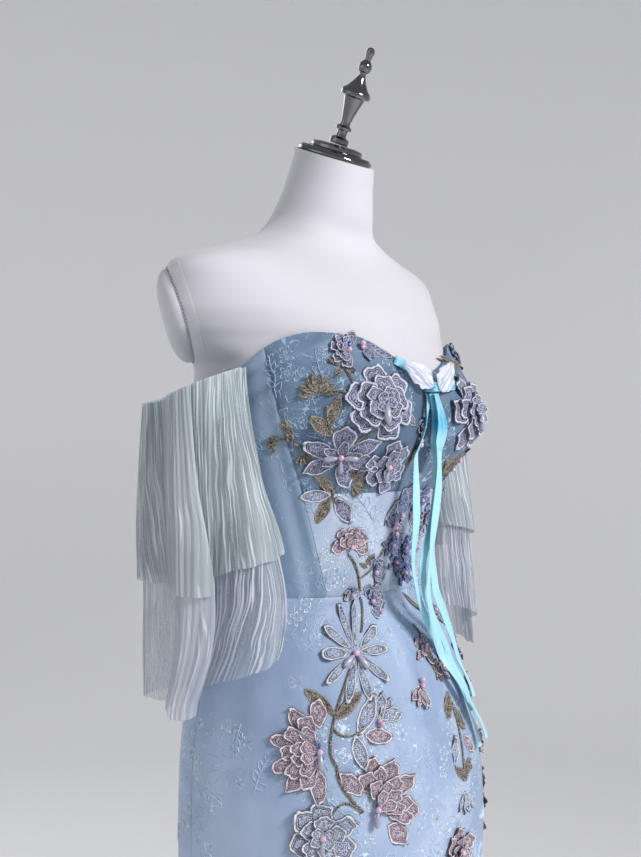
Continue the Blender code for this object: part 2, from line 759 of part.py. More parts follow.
def shoulder_cap(name, border, outwards, material):
    """A padded cap over an armhole, from the armhole's own border."""
    middle = sum(border, Vector()) / len(border)
    rings = []
    for step in range(CAP_STEPS):
        turn = math.pi / 2 * step / CAP_STEPS
        away = outwards * (SEAM_GAP + CAP_DEPTH * math.sin(turn))
        size = math.cos(turn) ** CAP_FULLNESS
        rings.append([middle + (p - middle) * size + away for p in border])
    points, faces = loft(rings)
    faces.pop()
    points.append(middle + outwards * (SEAM_GAP + CAP_DEPTH))
    first = (CAP_STEPS - 1) * len(border)
    for a, b in loop_edges(first, len(border)):
        faces.append((a, b, len(points) - 1))
    add_object(name, points, faces, material)


def build_form(cloth):
    rings = []
    for z in (FORM_BOTTOM_Z, *FORM_ROWS):
        angles = [i * FORM_COLUMN_DEG for i in range(int(360 / FORM_COLUMN_DEG))]
        rings.append([at(angle, z, form_radius(angle, z)) for angle in angles])
    rings += [form_ring(section) for section in FORM_TOP]
    torso = add_object("form_torso", *loft(rings), cloth)
    for word, (border, outwards) in cut_arms(torso).items():
        shoulder_cap(f"form_cap_{word}", border, outwards, cloth)


# Turned pieces: radius and height along their own axis
NECK_TOP = Vector((0, FORM_TOP[-1].shift, FORM_TOP[-1].z))
NECK_TILT = math.radians(FORM_TOP[-1].tilt)
FINIAL_TILT = NECK_TILT + math.radians(5.0)
Turn = namedtuple("Turn", "radius height")
NECK_PLATE = (
    Turn(0.0350, 0.0000),
    Turn(0.0360, 0.0030),
    Turn(0.0330, 0.0060),
    Turn(0.0250, 0.0070),
    Turn(0.0250, 0.0105),
    Turn(0.0180, 0.0125),
)
FINIAL = (
    Turn(0.0090, 0.000),
    Turn(0.0090, 0.005),
    Turn(0.0050, 0.007),
    Turn(0.0050, 0.013),
    Turn(0.0075, 0.015),
    Turn(0.0050, 0.018),
    Turn(0.0055, 0.024),
    Turn(0.0100, 0.045),
    Turn(0.0140, 0.048),
    Turn(0.0135, 0.051),
    Turn(0.0060, 0.060),
    Turn(0.0032, 0.066),
    Turn(0.0058, 0.071),
    Turn(0.0058, 0.076),
    Turn(0.0030, 0.080),
    Turn(0.0042, 0.087),
    Turn(0.0025, 0.092),
)
POLE = (
    Turn(0.0320, 0.0000),
    Turn(0.0300, 0.0080),
    Turn(0.0150, 0.0160),
    Turn(0.0125, 0.0200),
    Turn(0.0125, 0.7650),
    Turn(0.0240, 0.7700),
    Turn(0.0240, 0.7890),
)
BASE = (
    Turn(0.1900, 0.0000),
    Turn(0.1950, 0.0030),
    Turn(0.1950, 0.0070),
    Turn(0.1880, 0.0100),
)


def turned(name, profile, foot, tilt, sides, material):
    """A turned piece on a foot point, leaning forwards by a tilt."""
    lean = Matrix.Rotation(tilt, 3, "X")
    rings = []
    for row in profile:
        ring = [at(360 * i / sides, row.height, row.radius) for i in range(sides)]
        rings.append([lean @ place + foot for place in ring])
    add_object(name, *loft(rings), material)


def build_stand(chrome, metal):
    upwards = Matrix.Rotation(NECK_TILT, 3, "X") @ Vector((0, 0, 1))
    plate_foot = NECK_TOP + upwards * SEAM_GAP
    turned("neck_plate", NECK_PLATE, plate_foot, NECK_TILT, 24, chrome)
    lifted = FINIAL[0].radius * math.sin(FINIAL_TILT - NECK_TILT)
    finial_foot = plate_foot + upwards * (NECK_PLATE[-1].height + SEAM_GAP + lifted)
    turned("finial", FINIAL, finial_foot, FINIAL_TILT, 16, chrome)
    turned("stand_base", BASE, Vector(), 0.0, 48, metal)
    pole_foot = Vector((0, 0, BASE[-1].height + SEAM_GAP))
    turned("stand_pole", POLE, pole_foot, 0.0, 16, metal)


# Ribbon bow at the centre front, with four long tails that hang clear of the waist
RIBBON_WIDTH = 0.008
RIBBON_WALL = 0.0010
RIBBON_LAYER = 0.0028
LATTICE_X = 0.008
LATTICE_Z = 0.012
RIBBON_REST = 0.0008
PLUMB_Y = -0.1275
KNOT_Z = 1.224
KNOT_SIZE = (0.010, 0.010)
KNOT_DEPTH = 0.0145
Tail = namedtuple("Tail", "x z")
TAILS = {
    "a": (
        Tail(-0.004, 1.2180),
        Tail(-0.014, 1.200),
        Tail(-0.018, 1.160),
        Tail(-0.017, 1.110),
        Tail(-0.022, 1.070),
        Tail(-0.014, 1.040),
        Tail(0.000, 1.014),
        Tail(0.024, 0.985),
        Tail(0.044, 0.940),
        Tail(0.058, 0.894),
    ),
    "b": (
        Tail(-0.001, 1.2180),
        Tail(0.004, 1.185),
        Tail(0.008, 1.150),
        Tail(0.001, 1.100),
        Tail(-0.011, 1.066),
        Tail(-0.009, 1.045),
        Tail(0.008, 1.016),
        Tail(0.028, 0.985),
        Tail(0.046, 0.930),
    ),
    "c": (
        Tail(0.002, 1.2180),
        Tail(0.009, 1.180),
        Tail(0.008, 1.140),
        Tail(0.000, 1.085),
        Tail(0.004, 1.047),
        Tail(0.018, 1.022),
        Tail(0.037, 0.987),
        Tail(0.054, 0.940),
    ),
    "d": (
        Tail(-0.002, 1.2180),
        Tail(0.007, 1.150),
        Tail(-0.004, 1.085),
        Tail(-0.010, 1.045),
        Tail(-0.003, 1.018),
        Tail(0.003, 1.000),
        Tail(0.022, 0.966),
        Tail(0.040, 0.936),
        Tail(0.060, 0.902),
    ),
}
TAIL_STATIONS = 18
LOOP_STATIONS = 12
LOOP_DEPTH = 0.006
Wing = namedtuple("Wing", "name root direction length width curl")
WINGS = (
    Wing("organza_right", (-0.005, 0.001), (-0.75, 0.62), 0.038, 0.020, 0.008),
    Wing("organza_left", (0.0035, -0.004), (0.42, 0.91), 0.026, 0.023, 0.004),
)


def gown_front(x, z):
    """How far the gown with its applique reaches forwards at a place."""
    angle = 0.0
    for _ in range(6):
        angle = math.degrees(math.asin(x / gown_radius(angle, z)))
    turn = math.cos(math.radians(angle))
    return gown_radius(angle, z) * turn + relief(angle, z)


REACHES = {}


def lattice_reach(column, row):
    """The furthest reach of the gown round a point of a lattice, or the plumb line's."""
    if (column, row) not in REACHES:
        steps = (-1.0, -0.5, 0.0, 0.5, 1.0)
        places = [
            ((column + i) * LATTICE_X, (row + k) * LATTICE_Z) for i in steps for k in steps
        ]
        REACHES[column, row] = max(-PLUMB_Y, *[gown_front(*place) for place in places])
    return REACHES[column, row]


def ribbon_rest(x, z):
    """The smooth surface that all the tails hang on, just clear of the applique."""
    column, row = math.floor(x / LATTICE_X), math.floor(z / LATTICE_Z)
    s, t = x / LATTICE_X - column, z / LATTICE_Z - row
    low = (1 - s) * lattice_reach(column, row) + s * lattice_reach(column + 1, row)
    high = (1 - s) * lattice_reach(column, row + 1) + s * lattice_reach(column + 1, row + 1)
    return (1 - t) * low + t * high


def tail_places(rows, stations):
    """Places along a tail at even steps of height, read smoothly between its rows."""
    upwards = sorted(rows, key=lambda row: row.z)
    table = [(row.z, row.x) for row in upwards]
    top, bottom = table[-1][0], table[0][0]
    heights = [top + (bottom - top) * i / (stations - 1) for i in range(stations)]
    return [(smooth(table, z, 1), z) for z in heights]


def strip(name, centre, widths, fronts, material):
    """A flat band from its centre line, its widthways steps and its two edges' reach."""
    rings = []
    for (x, z), (wx, wz), reach in zip(centre, widths, fronts):
        ring = []
        for sign, wall in ((-1, 0), (1, 0), (1, RIBBON_WALL), (-1, RIBBON_WALL)):
            depth = reach[0] if sign < 0 else reach[1]
            ring.append(Vector((x + sign * wx, -(depth + wall), z + sign * wz)))
        rings.append(ring)
    add_object(name, *loft(rings), material)


def build_tails(satin):
    for layer, (word, rows) in enumerate(TAILS.items()):
        centre = tail_places(rows, TAIL_STATIONS)
        widths, reaches = [], []
        for i, (x, z) in enumerate(centre):
            before, after = centre[max(i - 1, 0)], centre[min(i + 1, len(centre) - 1)]
            along = Vector((after[0] - before[0], after[1] - before[1])).normalized()
            across = Vector((-along.y, along.x)) * RIBBON_WIDTH / 2
            across *= 1 if across.x > 0 else -1
            widths.append((across.x, across.y))
            clear = RIBBON_REST + layer * RIBBON_LAYER
            edges = [(x + s * across.x, z + s * across.y) for s in (-1, 1)]
            reaches.append([ribbon_rest(*edge) + clear for edge in edges])
        strip(f"ribbon_tail_{word}", centre, widths, reaches, satin)


def rounded_box(name, low, high, bevel, material):
    corners = itertools.product((low.x, high.x), (low.y, high.y), (low.z, high.z))
    points = [Vector(corner) for corner in corners]
    faces = ((0, 1, 3, 2), (4, 6, 7, 5), (0, 4, 5, 1), (2, 3, 7, 6), (0, 2, 6, 4), (1, 5, 7, 3))
    thing = add_object(name, points, faces, material)
    soften = thing.modifiers.new("soften", "BEVEL")
    soften.width = bevel
    soften.segments = 2
    return thing


def bow_loop(name, start, direction, length, depth, material):
    """A ribbon loop: a closed band out from the knot and back over itself."""
    out = Vector(direction).normalized()
    across = Vector((-out.z, 0, out.x)).normalized() * RIBBON_WIDTH / 2
    rings = []
    for wall in (0.0, RIBBON_WALL):
        for sign in (1, -1):
            ring = []
            for i in range(LOOP_STATIONS):
                turn = math.tau * i / LOOP_STATIONS
                swell = math.sin(turn / 2) ** 0.6
                reach = length / 2 * (1 - math.cos(turn)) + wall * (math.cos(turn))
                lift = (depth / 2 - wall) * math.sin(turn) * swell
                narrow = 0.45 + 0.55 * min(1.0, reach / length * 2)
                ring.append(start + out * reach + Vector((0, lift, 0)) + across * sign * narrow)
            rings.append(ring)
    points = [point for ring in rings for point in ring]
    size = LOOP_STATIONS
    faces = []
    for first, second in ((0, 1), (1, 3), (3, 2), (2, 0)):
        for i in range(size):
            j = (i + 1) % size
            a, b = first * size, second * size
            faces.append((a + i, a + j, b + j, b + i))
    add_object(name, points, faces, material)


def petal_wing(name, start, direction, length, width, curl, material):
    """A thin organza petal, pointed at both ends and curled a little outwards."""
    out = Vector((direction[0], 0, direction[1])).normalized()
    across = Vector((-out.z, 0, out.x))
    steps = 6
    rings = []
    for i in range(steps + 1):
        share = i / steps
        half = width / 2 * (0.18 + 0.82 * math.sin(math.pi * share) ** 0.7)
        lift = Vector((0, -curl * share**2, 0))
        middle = start + out * length * share + lift
        wall = Vector((0, -RIBBON_WALL, 0))
        side = across * half
        bowl = Vector((0, -0.0015 * math.sin(math.pi * share), 0))
        rings.append([middle - side + bowl, middle, middle + side + bowl])
        rings[-1] += [place + wall for place in reversed(rings[-1])]
    add_object(name, *loft(rings), material)


def build_bow(satin, organza):
    half = [size / 2 for size in KNOT_SIZE]
    steps = (-0.7, -0.35, 0.0, 0.35, 0.7)
    front = max(gown_front(i * half[0], KNOT_Z + k * half[1]) for i in steps for k in steps)
    back = -(front + SEAM_GAP)
    reach = back - KNOT_DEPTH
    low = Vector((-half[0], reach, KNOT_Z - half[1]))
    high = Vector((half[0], back, KNOT_Z + half[1]))
    rounded_box("ribbon_knot", low, high, 0.0015, satin)
    level = (back + reach) / 2 - 0.003
    right = Vector((low.x - 3 * SEAM_GAP, level, KNOT_Z + 0.003))
    left = Vector((high.x + SEAM_GAP, level, KNOT_Z))
    bow_loop("ribbon_loop_right", right, (-0.80, -0.15, 0.50), 0.036, LOOP_DEPTH, satin)
    bow_loop("ribbon_loop_left", left, (0.99, 0.0, 0.10), 0.026, LOOP_DEPTH, satin)
    wing = Vector((0, reach - SEAM_GAP, KNOT_Z))
    for name, root, direction, length, width, curl in WINGS:
        start = wing + Vector((root[0], 0, root[1]))
        petal_wing(name, start, direction, length, width, curl, organza)


def main():
    for thing in list(bpy.data.objects):
        bpy.data.objects.remove(thing, do_unlink=True)
    bodice = make_material("bodice_lace", (0.42, 0.56, 0.66), 0.6)
    skirt = make_material("skirt_lace", (0.50, 0.60, 0.68), 0.6)
    tulle = make_material("tulle", (0.62, 0.70, 0.70), 0.7)
    band = make_material("sleeve_band", (0.60, 0.70, 0.72), 0.6)
    cloth = make_material("form_cloth", (0.84, 0.82, 0.83), 0.8)
    satin = make_material("ribbon_satin", (0.30, 0.72, 0.80), 0.35)
    organza = make_material("organza", (0.86, 0.88, 0.90), 0.5)
    chrome = make_material("chrome", (0.85, 0.85, 0.86), 0.12, 1.0)
    metal = make_material("stand_metal", (0.80, 0.80, 0.81), 0.25, 1.0)
    build_gown(bodice, skirt)
    build_sleeves(tulle, band)
    build_form(cloth)
    build_stand(chrome, metal)
    build_tails(satin)
    build_bow(satin, organza)


if __name__ == "__main__":
    main()
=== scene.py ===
"""The looks of a mermaid gown on a limbless dress form.

Metres, +Z up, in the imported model's frame. The gown faces -Y and the wearer's right side is -X.
Angles are in degrees round the gown from the centre front, towards the wearer's left. Every cloth
piece carries a map called chart, in metres along and up the cloth.
"""

import math
from collections import namedtuple

import bmesh
import bpy
import numpy as np
from mathutils import Matrix, Vector
from mathutils.bvhtree import BVHTree


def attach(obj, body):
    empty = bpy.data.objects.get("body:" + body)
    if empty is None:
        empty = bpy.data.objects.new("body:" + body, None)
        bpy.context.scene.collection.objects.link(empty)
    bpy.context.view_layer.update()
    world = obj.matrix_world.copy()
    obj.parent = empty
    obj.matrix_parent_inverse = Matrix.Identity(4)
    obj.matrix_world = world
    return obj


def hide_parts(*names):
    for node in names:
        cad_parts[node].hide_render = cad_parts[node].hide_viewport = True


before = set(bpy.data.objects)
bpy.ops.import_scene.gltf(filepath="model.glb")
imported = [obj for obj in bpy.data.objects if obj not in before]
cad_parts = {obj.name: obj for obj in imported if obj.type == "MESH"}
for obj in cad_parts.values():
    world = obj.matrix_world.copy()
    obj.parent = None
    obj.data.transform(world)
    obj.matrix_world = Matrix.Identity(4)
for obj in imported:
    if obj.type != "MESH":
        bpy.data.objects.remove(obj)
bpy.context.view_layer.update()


def table(columns, *rows):
    """Rows of values under named columns."""
    Row = namedtuple("Row", columns)
    return [Row(*row) for row in rows]


def tables(columns, **groups):
    """Tables with the same columns, each under its own word."""
    return {word: table(columns, *rows) for word, rows in groups.items()}


def named(columns, **rows):
    """Rows with the same columns, each under its own word."""
    return {word: table(columns, row)[0] for word, row in rows.items()}


# Sizes shared with the solid model
WALL = 0.0015
SEAM_GAP = 0.0003
WAIST_Z = 1.040
UNDERBUST_Z = 1.131
HEM_Z = 0.015
CHART_RADIUS = 0.14
ROUNDNESS = 2.2
SECTIONS = table(
    "z side front back",
    (0.015, 0.335, 0.305, 0.355), (0.18, 0.243, 0.222, 0.238), (0.33, 0.166, 0.152, 0.148),
    (0.47, 0.124, 0.112, 0.098), (0.56, 0.13, 0.122, 0.094), (0.7, 0.144, 0.143, 0.095),
    (0.82, 0.152, 0.154, 0.096), (0.88, 0.151, 0.151, 0.095), (0.94, 0.144, 0.139, 0.093),
    (0.99, 0.134, 0.119, 0.09), (1.04, 0.122, 0.094, 0.087), (1.085, 0.123, 0.098, 0.088),
    (1.131, 0.13, 0.105, 0.092), (1.2, 0.137, 0.116, 0.096), (1.243, 0.137, 0.112, 0.096),
    (1.29, 0.137, 0.107, 0.096),
)
CUP_ANGLE = 27.0
CUP_SPREAD_DEG = 18.0
CUP_Z = 1.197
CUP_DEPTH = 0.032
CUP_SPREAD_BELOW = 0.034
CUP_SPREAD_ABOVE = 0.040
FLUTES = 12
FLUTE_DEPTH = 0.021
FLUTE_TOP_Z = 0.400
NECKLINE = table(
    "angle z",
    (0, 1.232), (12, 1.243), (38, 1.268), (52, 1.2695), (62, 1.265), (70, 1.256), (77, 1.243),
    (100, 1.225), (140, 1.208), (180, 1.203),
)
# Soft ridges (depth over 0) and troughs in the gown, as lines from one place to another
CREASES = table(
    "angle z end_angle end_z width depth",
    (-66, 1.24, -49, 1.05, 0.005, 0.0016), (-78, 1.232, -60, 1.06, 0.007, 0.0012),
    (-92, 1.215, -84, 1.07, 0.008, 0.0014), (66, 1.24, 49, 1.05, 0.005, 0.0016),
    (80, 1.23, 64, 1.06, 0.007, 0.0012), (96, 1.212, 88, 1.07, 0.008, 0.0014),
    (-77, 1.228, -46, 1.262, 0.003, 0.0062), (-74, 1.223, -46, 1.252, 0.0026, -0.0012),
    (-72, 1.213, -47, 1.242, 0.0032, 0.0056), (-66, 1.2, -47, 1.226, 0.0036, 0.0036),
    (76, 1.229, 48, 1.262, 0.003, 0.0055), (71, 1.216, 48, 1.244, 0.0034, 0.0042),
    (-24.7, 1.128, -21.5, 1.045, 0.0035, 0.0012), (-57, 1.128, -47, 1.045, 0.0035, 0.0012),
    (24.7, 1.128, 21.5, 1.045, 0.0035, 0.0012), (130, 1.19, 128, 1.05, 0.006, 0.0012),
    (-130, 1.19, -128, 1.05, 0.006, 0.0012), (152, 1.185, 150, 1.06, 0.006, 0.001),
    (-152, 1.185, -150, 1.06, 0.006, 0.001), (-30, 1.03, -22, 0.93, 0.009, 0.0014),
    (-12, 1.025, -14, 0.94, 0.008, 0.0012), (-52, 1.028, -62, 0.88, 0.01, 0.0016),
    (-68, 1.02, -76, 0.84, 0.011, 0.0016), (-88, 1.02, -90, 0.76, 0.012, 0.0018),
    (16, 1.028, 20, 0.9, 0.009, 0.0014), (48, 1.02, 58, 0.87, 0.011, 0.0016),
    (80, 1.02, 86, 0.78, 0.012, 0.0018), (-50, 0.8, -34, 0.56, 0.016, 0.0022),
    (-20, 0.78, -26, 0.5, 0.016, 0.0022), (12, 0.76, 18, 0.48, 0.016, 0.0022),
    (52, 0.78, 40, 0.52, 0.016, 0.0022), (-120, 1.01, -112, 0.7, 0.014, 0.0018),
    (122, 1.01, 114, 0.72, 0.014, 0.0018), (-160, 0.76, -150, 0.48, 0.018, 0.0022),
    (158, 0.74, 148, 0.46, 0.018, 0.0022),
)


def smooth(rows, place, column):
    """One column of a table, read smoothly between its rows. The first column is the place."""
    places, values = (np.array([row[k] for row in rows], float) for k in (0, column))
    widths = np.diff(places)
    rises = np.diff(values) / widths
    both = rises[:-1] * rises[1:]
    same = both > 0
    slopes = np.zeros(len(places))
    slopes[1:-1][same] = 2 * both[same] / (rises[:-1] + rises[1:])[same]
    place = np.clip(place, places[0], places[-1])
    i = np.clip(np.searchsorted(places, place, side="right") - 1, 0, len(rows) - 2)
    t = (place - places[i]) / widths[i]
    start = (2 * t**3 - 3 * t**2 + 1) * values[i] + (t**3 - 2 * t**2 + t) * widths[i] * slopes[i]
    return start + (3 * t**2 - 2 * t**3) * values[i + 1] + (t**3 - t**2) * widths[i] * slopes[i + 1]


def bell(distance, spread):
    return np.exp(-((distance / spread) ** 2) / 2)


def wrapped(angle):
    return (np.asarray(angle, float) + 180) % 360 - 180


def sincos(angle):
    turn = np.radians(angle)
    return np.sin(turn), np.cos(turn)


def joined(*parts):
    """Arrays broadcast together and set side by side on a last axis."""
    return np.stack(np.broadcast_arrays(*parts), axis=-1)


def at(angle, z, radius):
    s, c = sincos(angle)
    return joined(radius * s, -radius * c, z)


def ellipse_radius(angle, side, front, back, roundness=ROUNDNESS):
    s, c = sincos(angle)
    depth = np.where(c > 0, front, back)
    across = (np.abs(s) / side) ** roundness
    return (across + (np.abs(c) / depth) ** roundness) ** (-1 / roundness)


def cup(angle, z):
    spread = np.where(z < CUP_Z, CUP_SPREAD_BELOW, CUP_SPREAD_ABOVE)
    across = bell(np.abs(angle) - CUP_ANGLE, CUP_SPREAD_DEG)
    return CUP_DEPTH * across * bell(z - CUP_Z, spread)


def flute(angle, z):
    fall = np.clip((FLUTE_TOP_Z - z) / (FLUTE_TOP_Z - HEM_Z), 0, None) ** 1.4
    turn = np.radians(angle)
    wave = np.cos(FLUTES * turn + 0.5 * np.sin(2 * turn)) + 0.3 * np.cos(5 * turn + 1.0)
    return FLUTE_DEPTH * fall * wave / 1.3


def gown_radius(angle, z):
    """Outer surface of the plain gown, as a distance from the axis."""
    angle, z = wrapped(angle), np.asarray(z, float)
    size = [smooth(SECTIONS, z, column) for column in (1, 2, 3)]
    return ellipse_radius(angle, *size) + cup(angle, z) + flute(angle, z)


def neckline(angle):
    return smooth(NECKLINE, np.abs(wrapped(angle)), 1)


def creased(angle, z):
    """How far the cloth's ridges stand out at a place."""
    x = np.radians(wrapped(angle)) * CHART_RADIUS
    total = np.zeros(np.broadcast(x, z).shape)
    for row in CREASES:
        start = math.radians(row.angle) * CHART_RADIUS
        run = math.radians(row.end_angle - row.angle) * CHART_RADIUS
        fall = row.end_z - row.z
        share = np.clip(((x - start) * run + (z - row.z) * fall) / (run**2 + fall**2), 0, 1)
        away = np.hypot(x - start - share * run, z - row.z - share * fall)
        total += row.depth * bell(away, row.width) * np.sin(np.pi * (0.1 + 0.8 * share))
    return total


def skin(angle, z, lift=0.0):
    """A place on the gown's outer cloth, raised by a lift."""
    return at(angle, z, gown_radius(angle, z) + creased(angle, z) + lift)


def jitter(seed):
    """A steady number from 0 to 1 that differs from seed to seed."""
    return math.modf(abs(math.sin(seed * 12.9898 + 4.1) * 43758.5453))[0]


# Building meshes
SHARP_ANGLE = math.radians(40)


class Patchwork:
    """Points, faces, map places and material numbers gathered into one mesh."""

    def __init__(self):
        self.points, self.faces, self.maps, self.slots = [], [], [], []
        self.count = 0

    def grid(self, points, places, slot=0, wrap=False, flip=False):
        """A sheet from an array of rows of points. A wrapped one closes on itself."""
        rows, columns = points.shape[:2]
        index = self.count + np.arange(rows * columns).reshape(rows, columns)
        if wrap:
            index = np.concatenate([index, index[:, :1]], axis=1)
        corners = (index[:-1, :-1], index[:-1, 1:], index[1:, 1:], index[1:, :-1])
        faces = np.stack([corner.ravel() for corner in corners], axis=1)
        self.faces += [tuple(face) for face in (faces[:, ::-1] if flip else faces)]
        self.slots += [slot] * len(faces)
        self.points.append(np.asarray(points, float).reshape(-1, 3))
        self.maps.append(np.asarray(places, float).reshape(-1, 2))
        self.count += rows * columns

    def cap(self, first, sides, flip=False):
        """One face over a ring of points."""
        ring = range(first, first + sides)
        self.faces.append(tuple(reversed(ring) if flip else ring))
        self.slots.append(0)

    def closed(self, points, places):
        """A wrapped sheet with a face over each end."""
        rows, sides = points.shape[:2]
        self.grid(points, places, wrap=True)
        self.cap(0, sides, flip=True)
        self.cap((rows - 1) * sides, sides)

    def build(self, name, *materials):
        mesh = bpy.data.meshes.new(name)
        mesh.from_pydata(np.concatenate(self.points), [], self.faces)
        corners = np.empty(len(mesh.loops), np.int32)
        mesh.loops.foreach_get("vertex_index", corners)
        places = np.concatenate(self.maps)[corners].astype(np.float32)
        mesh.uv_layers.new(name="chart").data.foreach_set("uv", places.ravel())
        mesh.polygons.foreach_set("material_index", self.slots)
        for material in materials:
            mesh.materials.append(material)
        mesh.shade_smooth()
        mesh.set_sharp_from_angle(angle=SHARP_ANGLE)
        mesh.update()
        thing = bpy.data.objects.new(name, mesh)
        bpy.context.scene.collection.objects.link(thing)
        return thing


def walled(name, outer, inner, places, material):
    """A cloth wall from its two skins, closed along its edges."""
    work = Patchwork()
    work.grid(outer, places)
    work.grid(inner, places, flip=True)
    index = np.arange(outer[..., 0].size).reshape(outer.shape[:2])
    edges = (index[0, :-1], index[:-1, -1], index[-1, :0:-1], index[:0:-1, 0])
    border = np.concatenate(edges).tolist()
    for first, second in zip(border, border[1:] + border[:1]):
        work.faces.append((second, first, first + index.size, second + index.size))
        work.slots.append(0)
    return work.build(name, material)


def settle(piece, node=None):
    """Puts a piece into the frame, and in its solid's place where it has one."""
    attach(piece, "root")
    if node:
        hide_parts(node)
    return piece


def declare(piece, node):
    """Settles a cloth piece in its solid's place."""
    settle(piece, node)


# Materials
class Paint:
    """A material under construction, with short words for its nodes."""

    def __init__(self, name, roughness=0.6, metallic=0.0, **settings):
        self.material = bpy.data.materials.new(name)
        self.material.use_nodes = True
        self.tree = self.material.node_tree
        self.shader = self.tree.nodes["Principled BSDF"]
        for word, value in {"roughness": roughness, "metallic": metallic, **settings}.items():
            self.look(word.replace("_", " ").title().replace("Ior", "IOR"), value)

    def put(self, node, socket, value):
        if isinstance(value, bpy.types.NodeSocket):
            self.tree.links.new(value, node.inputs[socket])
        else:
            node.inputs[socket].default_value = value

    def look(self, socket, value):
        """Sets one socket of the shader."""
        self.put(self.shader, socket, value)

    def node(self, kind, inputs, **settings):
        made = self.tree.nodes.new("ShaderNode" + kind)
        for word, value in settings.items():
            setattr(made, word, value)
        for socket, value in inputs.items():
            self.put(made, socket, value)
        return made

    def chart(self):
        return self.node("UVMap", {}, uv_map="chart").outputs[0]

    def place(self):
        return self.node("TexCoord", {}).outputs["Object"]

    def axes(self, vector):
        return self.node("SeparateXYZ", {0: vector}).outputs

    def math(self, operation, *values):
        return self.node("Math", dict(enumerate(values)), operation=operation).outputs[0]

    def vector(self, operation, *values):
        return self.node("VectorMath", dict(enumerate(values)), operation=operation).outputs[0]

    def times(self, first, second):
        return self.math("MULTIPLY", first, second)

    def scaled(self, value, factor, start):
        return self.math("MULTIPLY_ADD", value, factor, start)

    def most(self, first, second):
        return self.math("MAXIMUM", first, second)

    def apart(self, first, second):
        return self.math("ABSOLUTE", self.math("SUBTRACT", first, second))

    def stripes(self, value, rate):
        return self.math("SINE", self.times(value, rate))

    def stretched(self, vector, across, up):
        return self.vector("MULTIPLY", vector, (across, up, 1.0))

    def clouds(self, vector, scale, detail, output=0):
        inputs = {"Vector": vector, "Scale": scale, "Detail": detail}
        return self.node("TexNoise", inputs).outputs[output]

    def noise(self, vector, scale, detail=2.0):
        return self.clouds(vector, scale, detail)

    def warped(self, vector, scale, amount):
        """A place moved about by soft noise."""
        centred = self.vector("SUBTRACT", self.clouds(vector, scale, 2.0, 1), (0.5, 0.5, 0.5))
        return self.vector("ADD", vector, self.vector("MULTIPLY", centred, (amount, amount, 0.0)))

    def ramp(self, value, *stops):
        """Colours or values over a range, as (place, colour or value) stops."""
        made = self.node("ValToRGB", {"Fac": value})
        elements = made.color_ramp.elements
        while len(elements) < len(stops):
            elements.new(0.5)
        for element, (place, colour) in zip(elements, stops):
            element.position = place
            grey = (colour, colour, colour)
            element.color = (*(colour if isinstance(colour, tuple) else grey), 1.0)
        return made.outputs[0]

    def mix(self, factor, first, second, **settings):
        made = self.node("Mix", {0: factor}, data_type="RGBA", **settings)
        for socket, value in ((6, first), (7, second)):
            self.put(made, socket, (*value, 1.0) if isinstance(value, tuple) else value)
        return made.outputs[2]

    def bump(self, height, distance, strength=1.0):
        inputs = {"Height": height, "Distance": distance, "Strength": strength}
        last = self.shader.inputs["Normal"]
        if last.is_linked:
            inputs["Normal"] = last.links[0].from_socket
        self.look("Normal", self.node("Bump", inputs).outputs[0])

    def colour(self, value):
        self.look("Base Color", value)
        return self.material


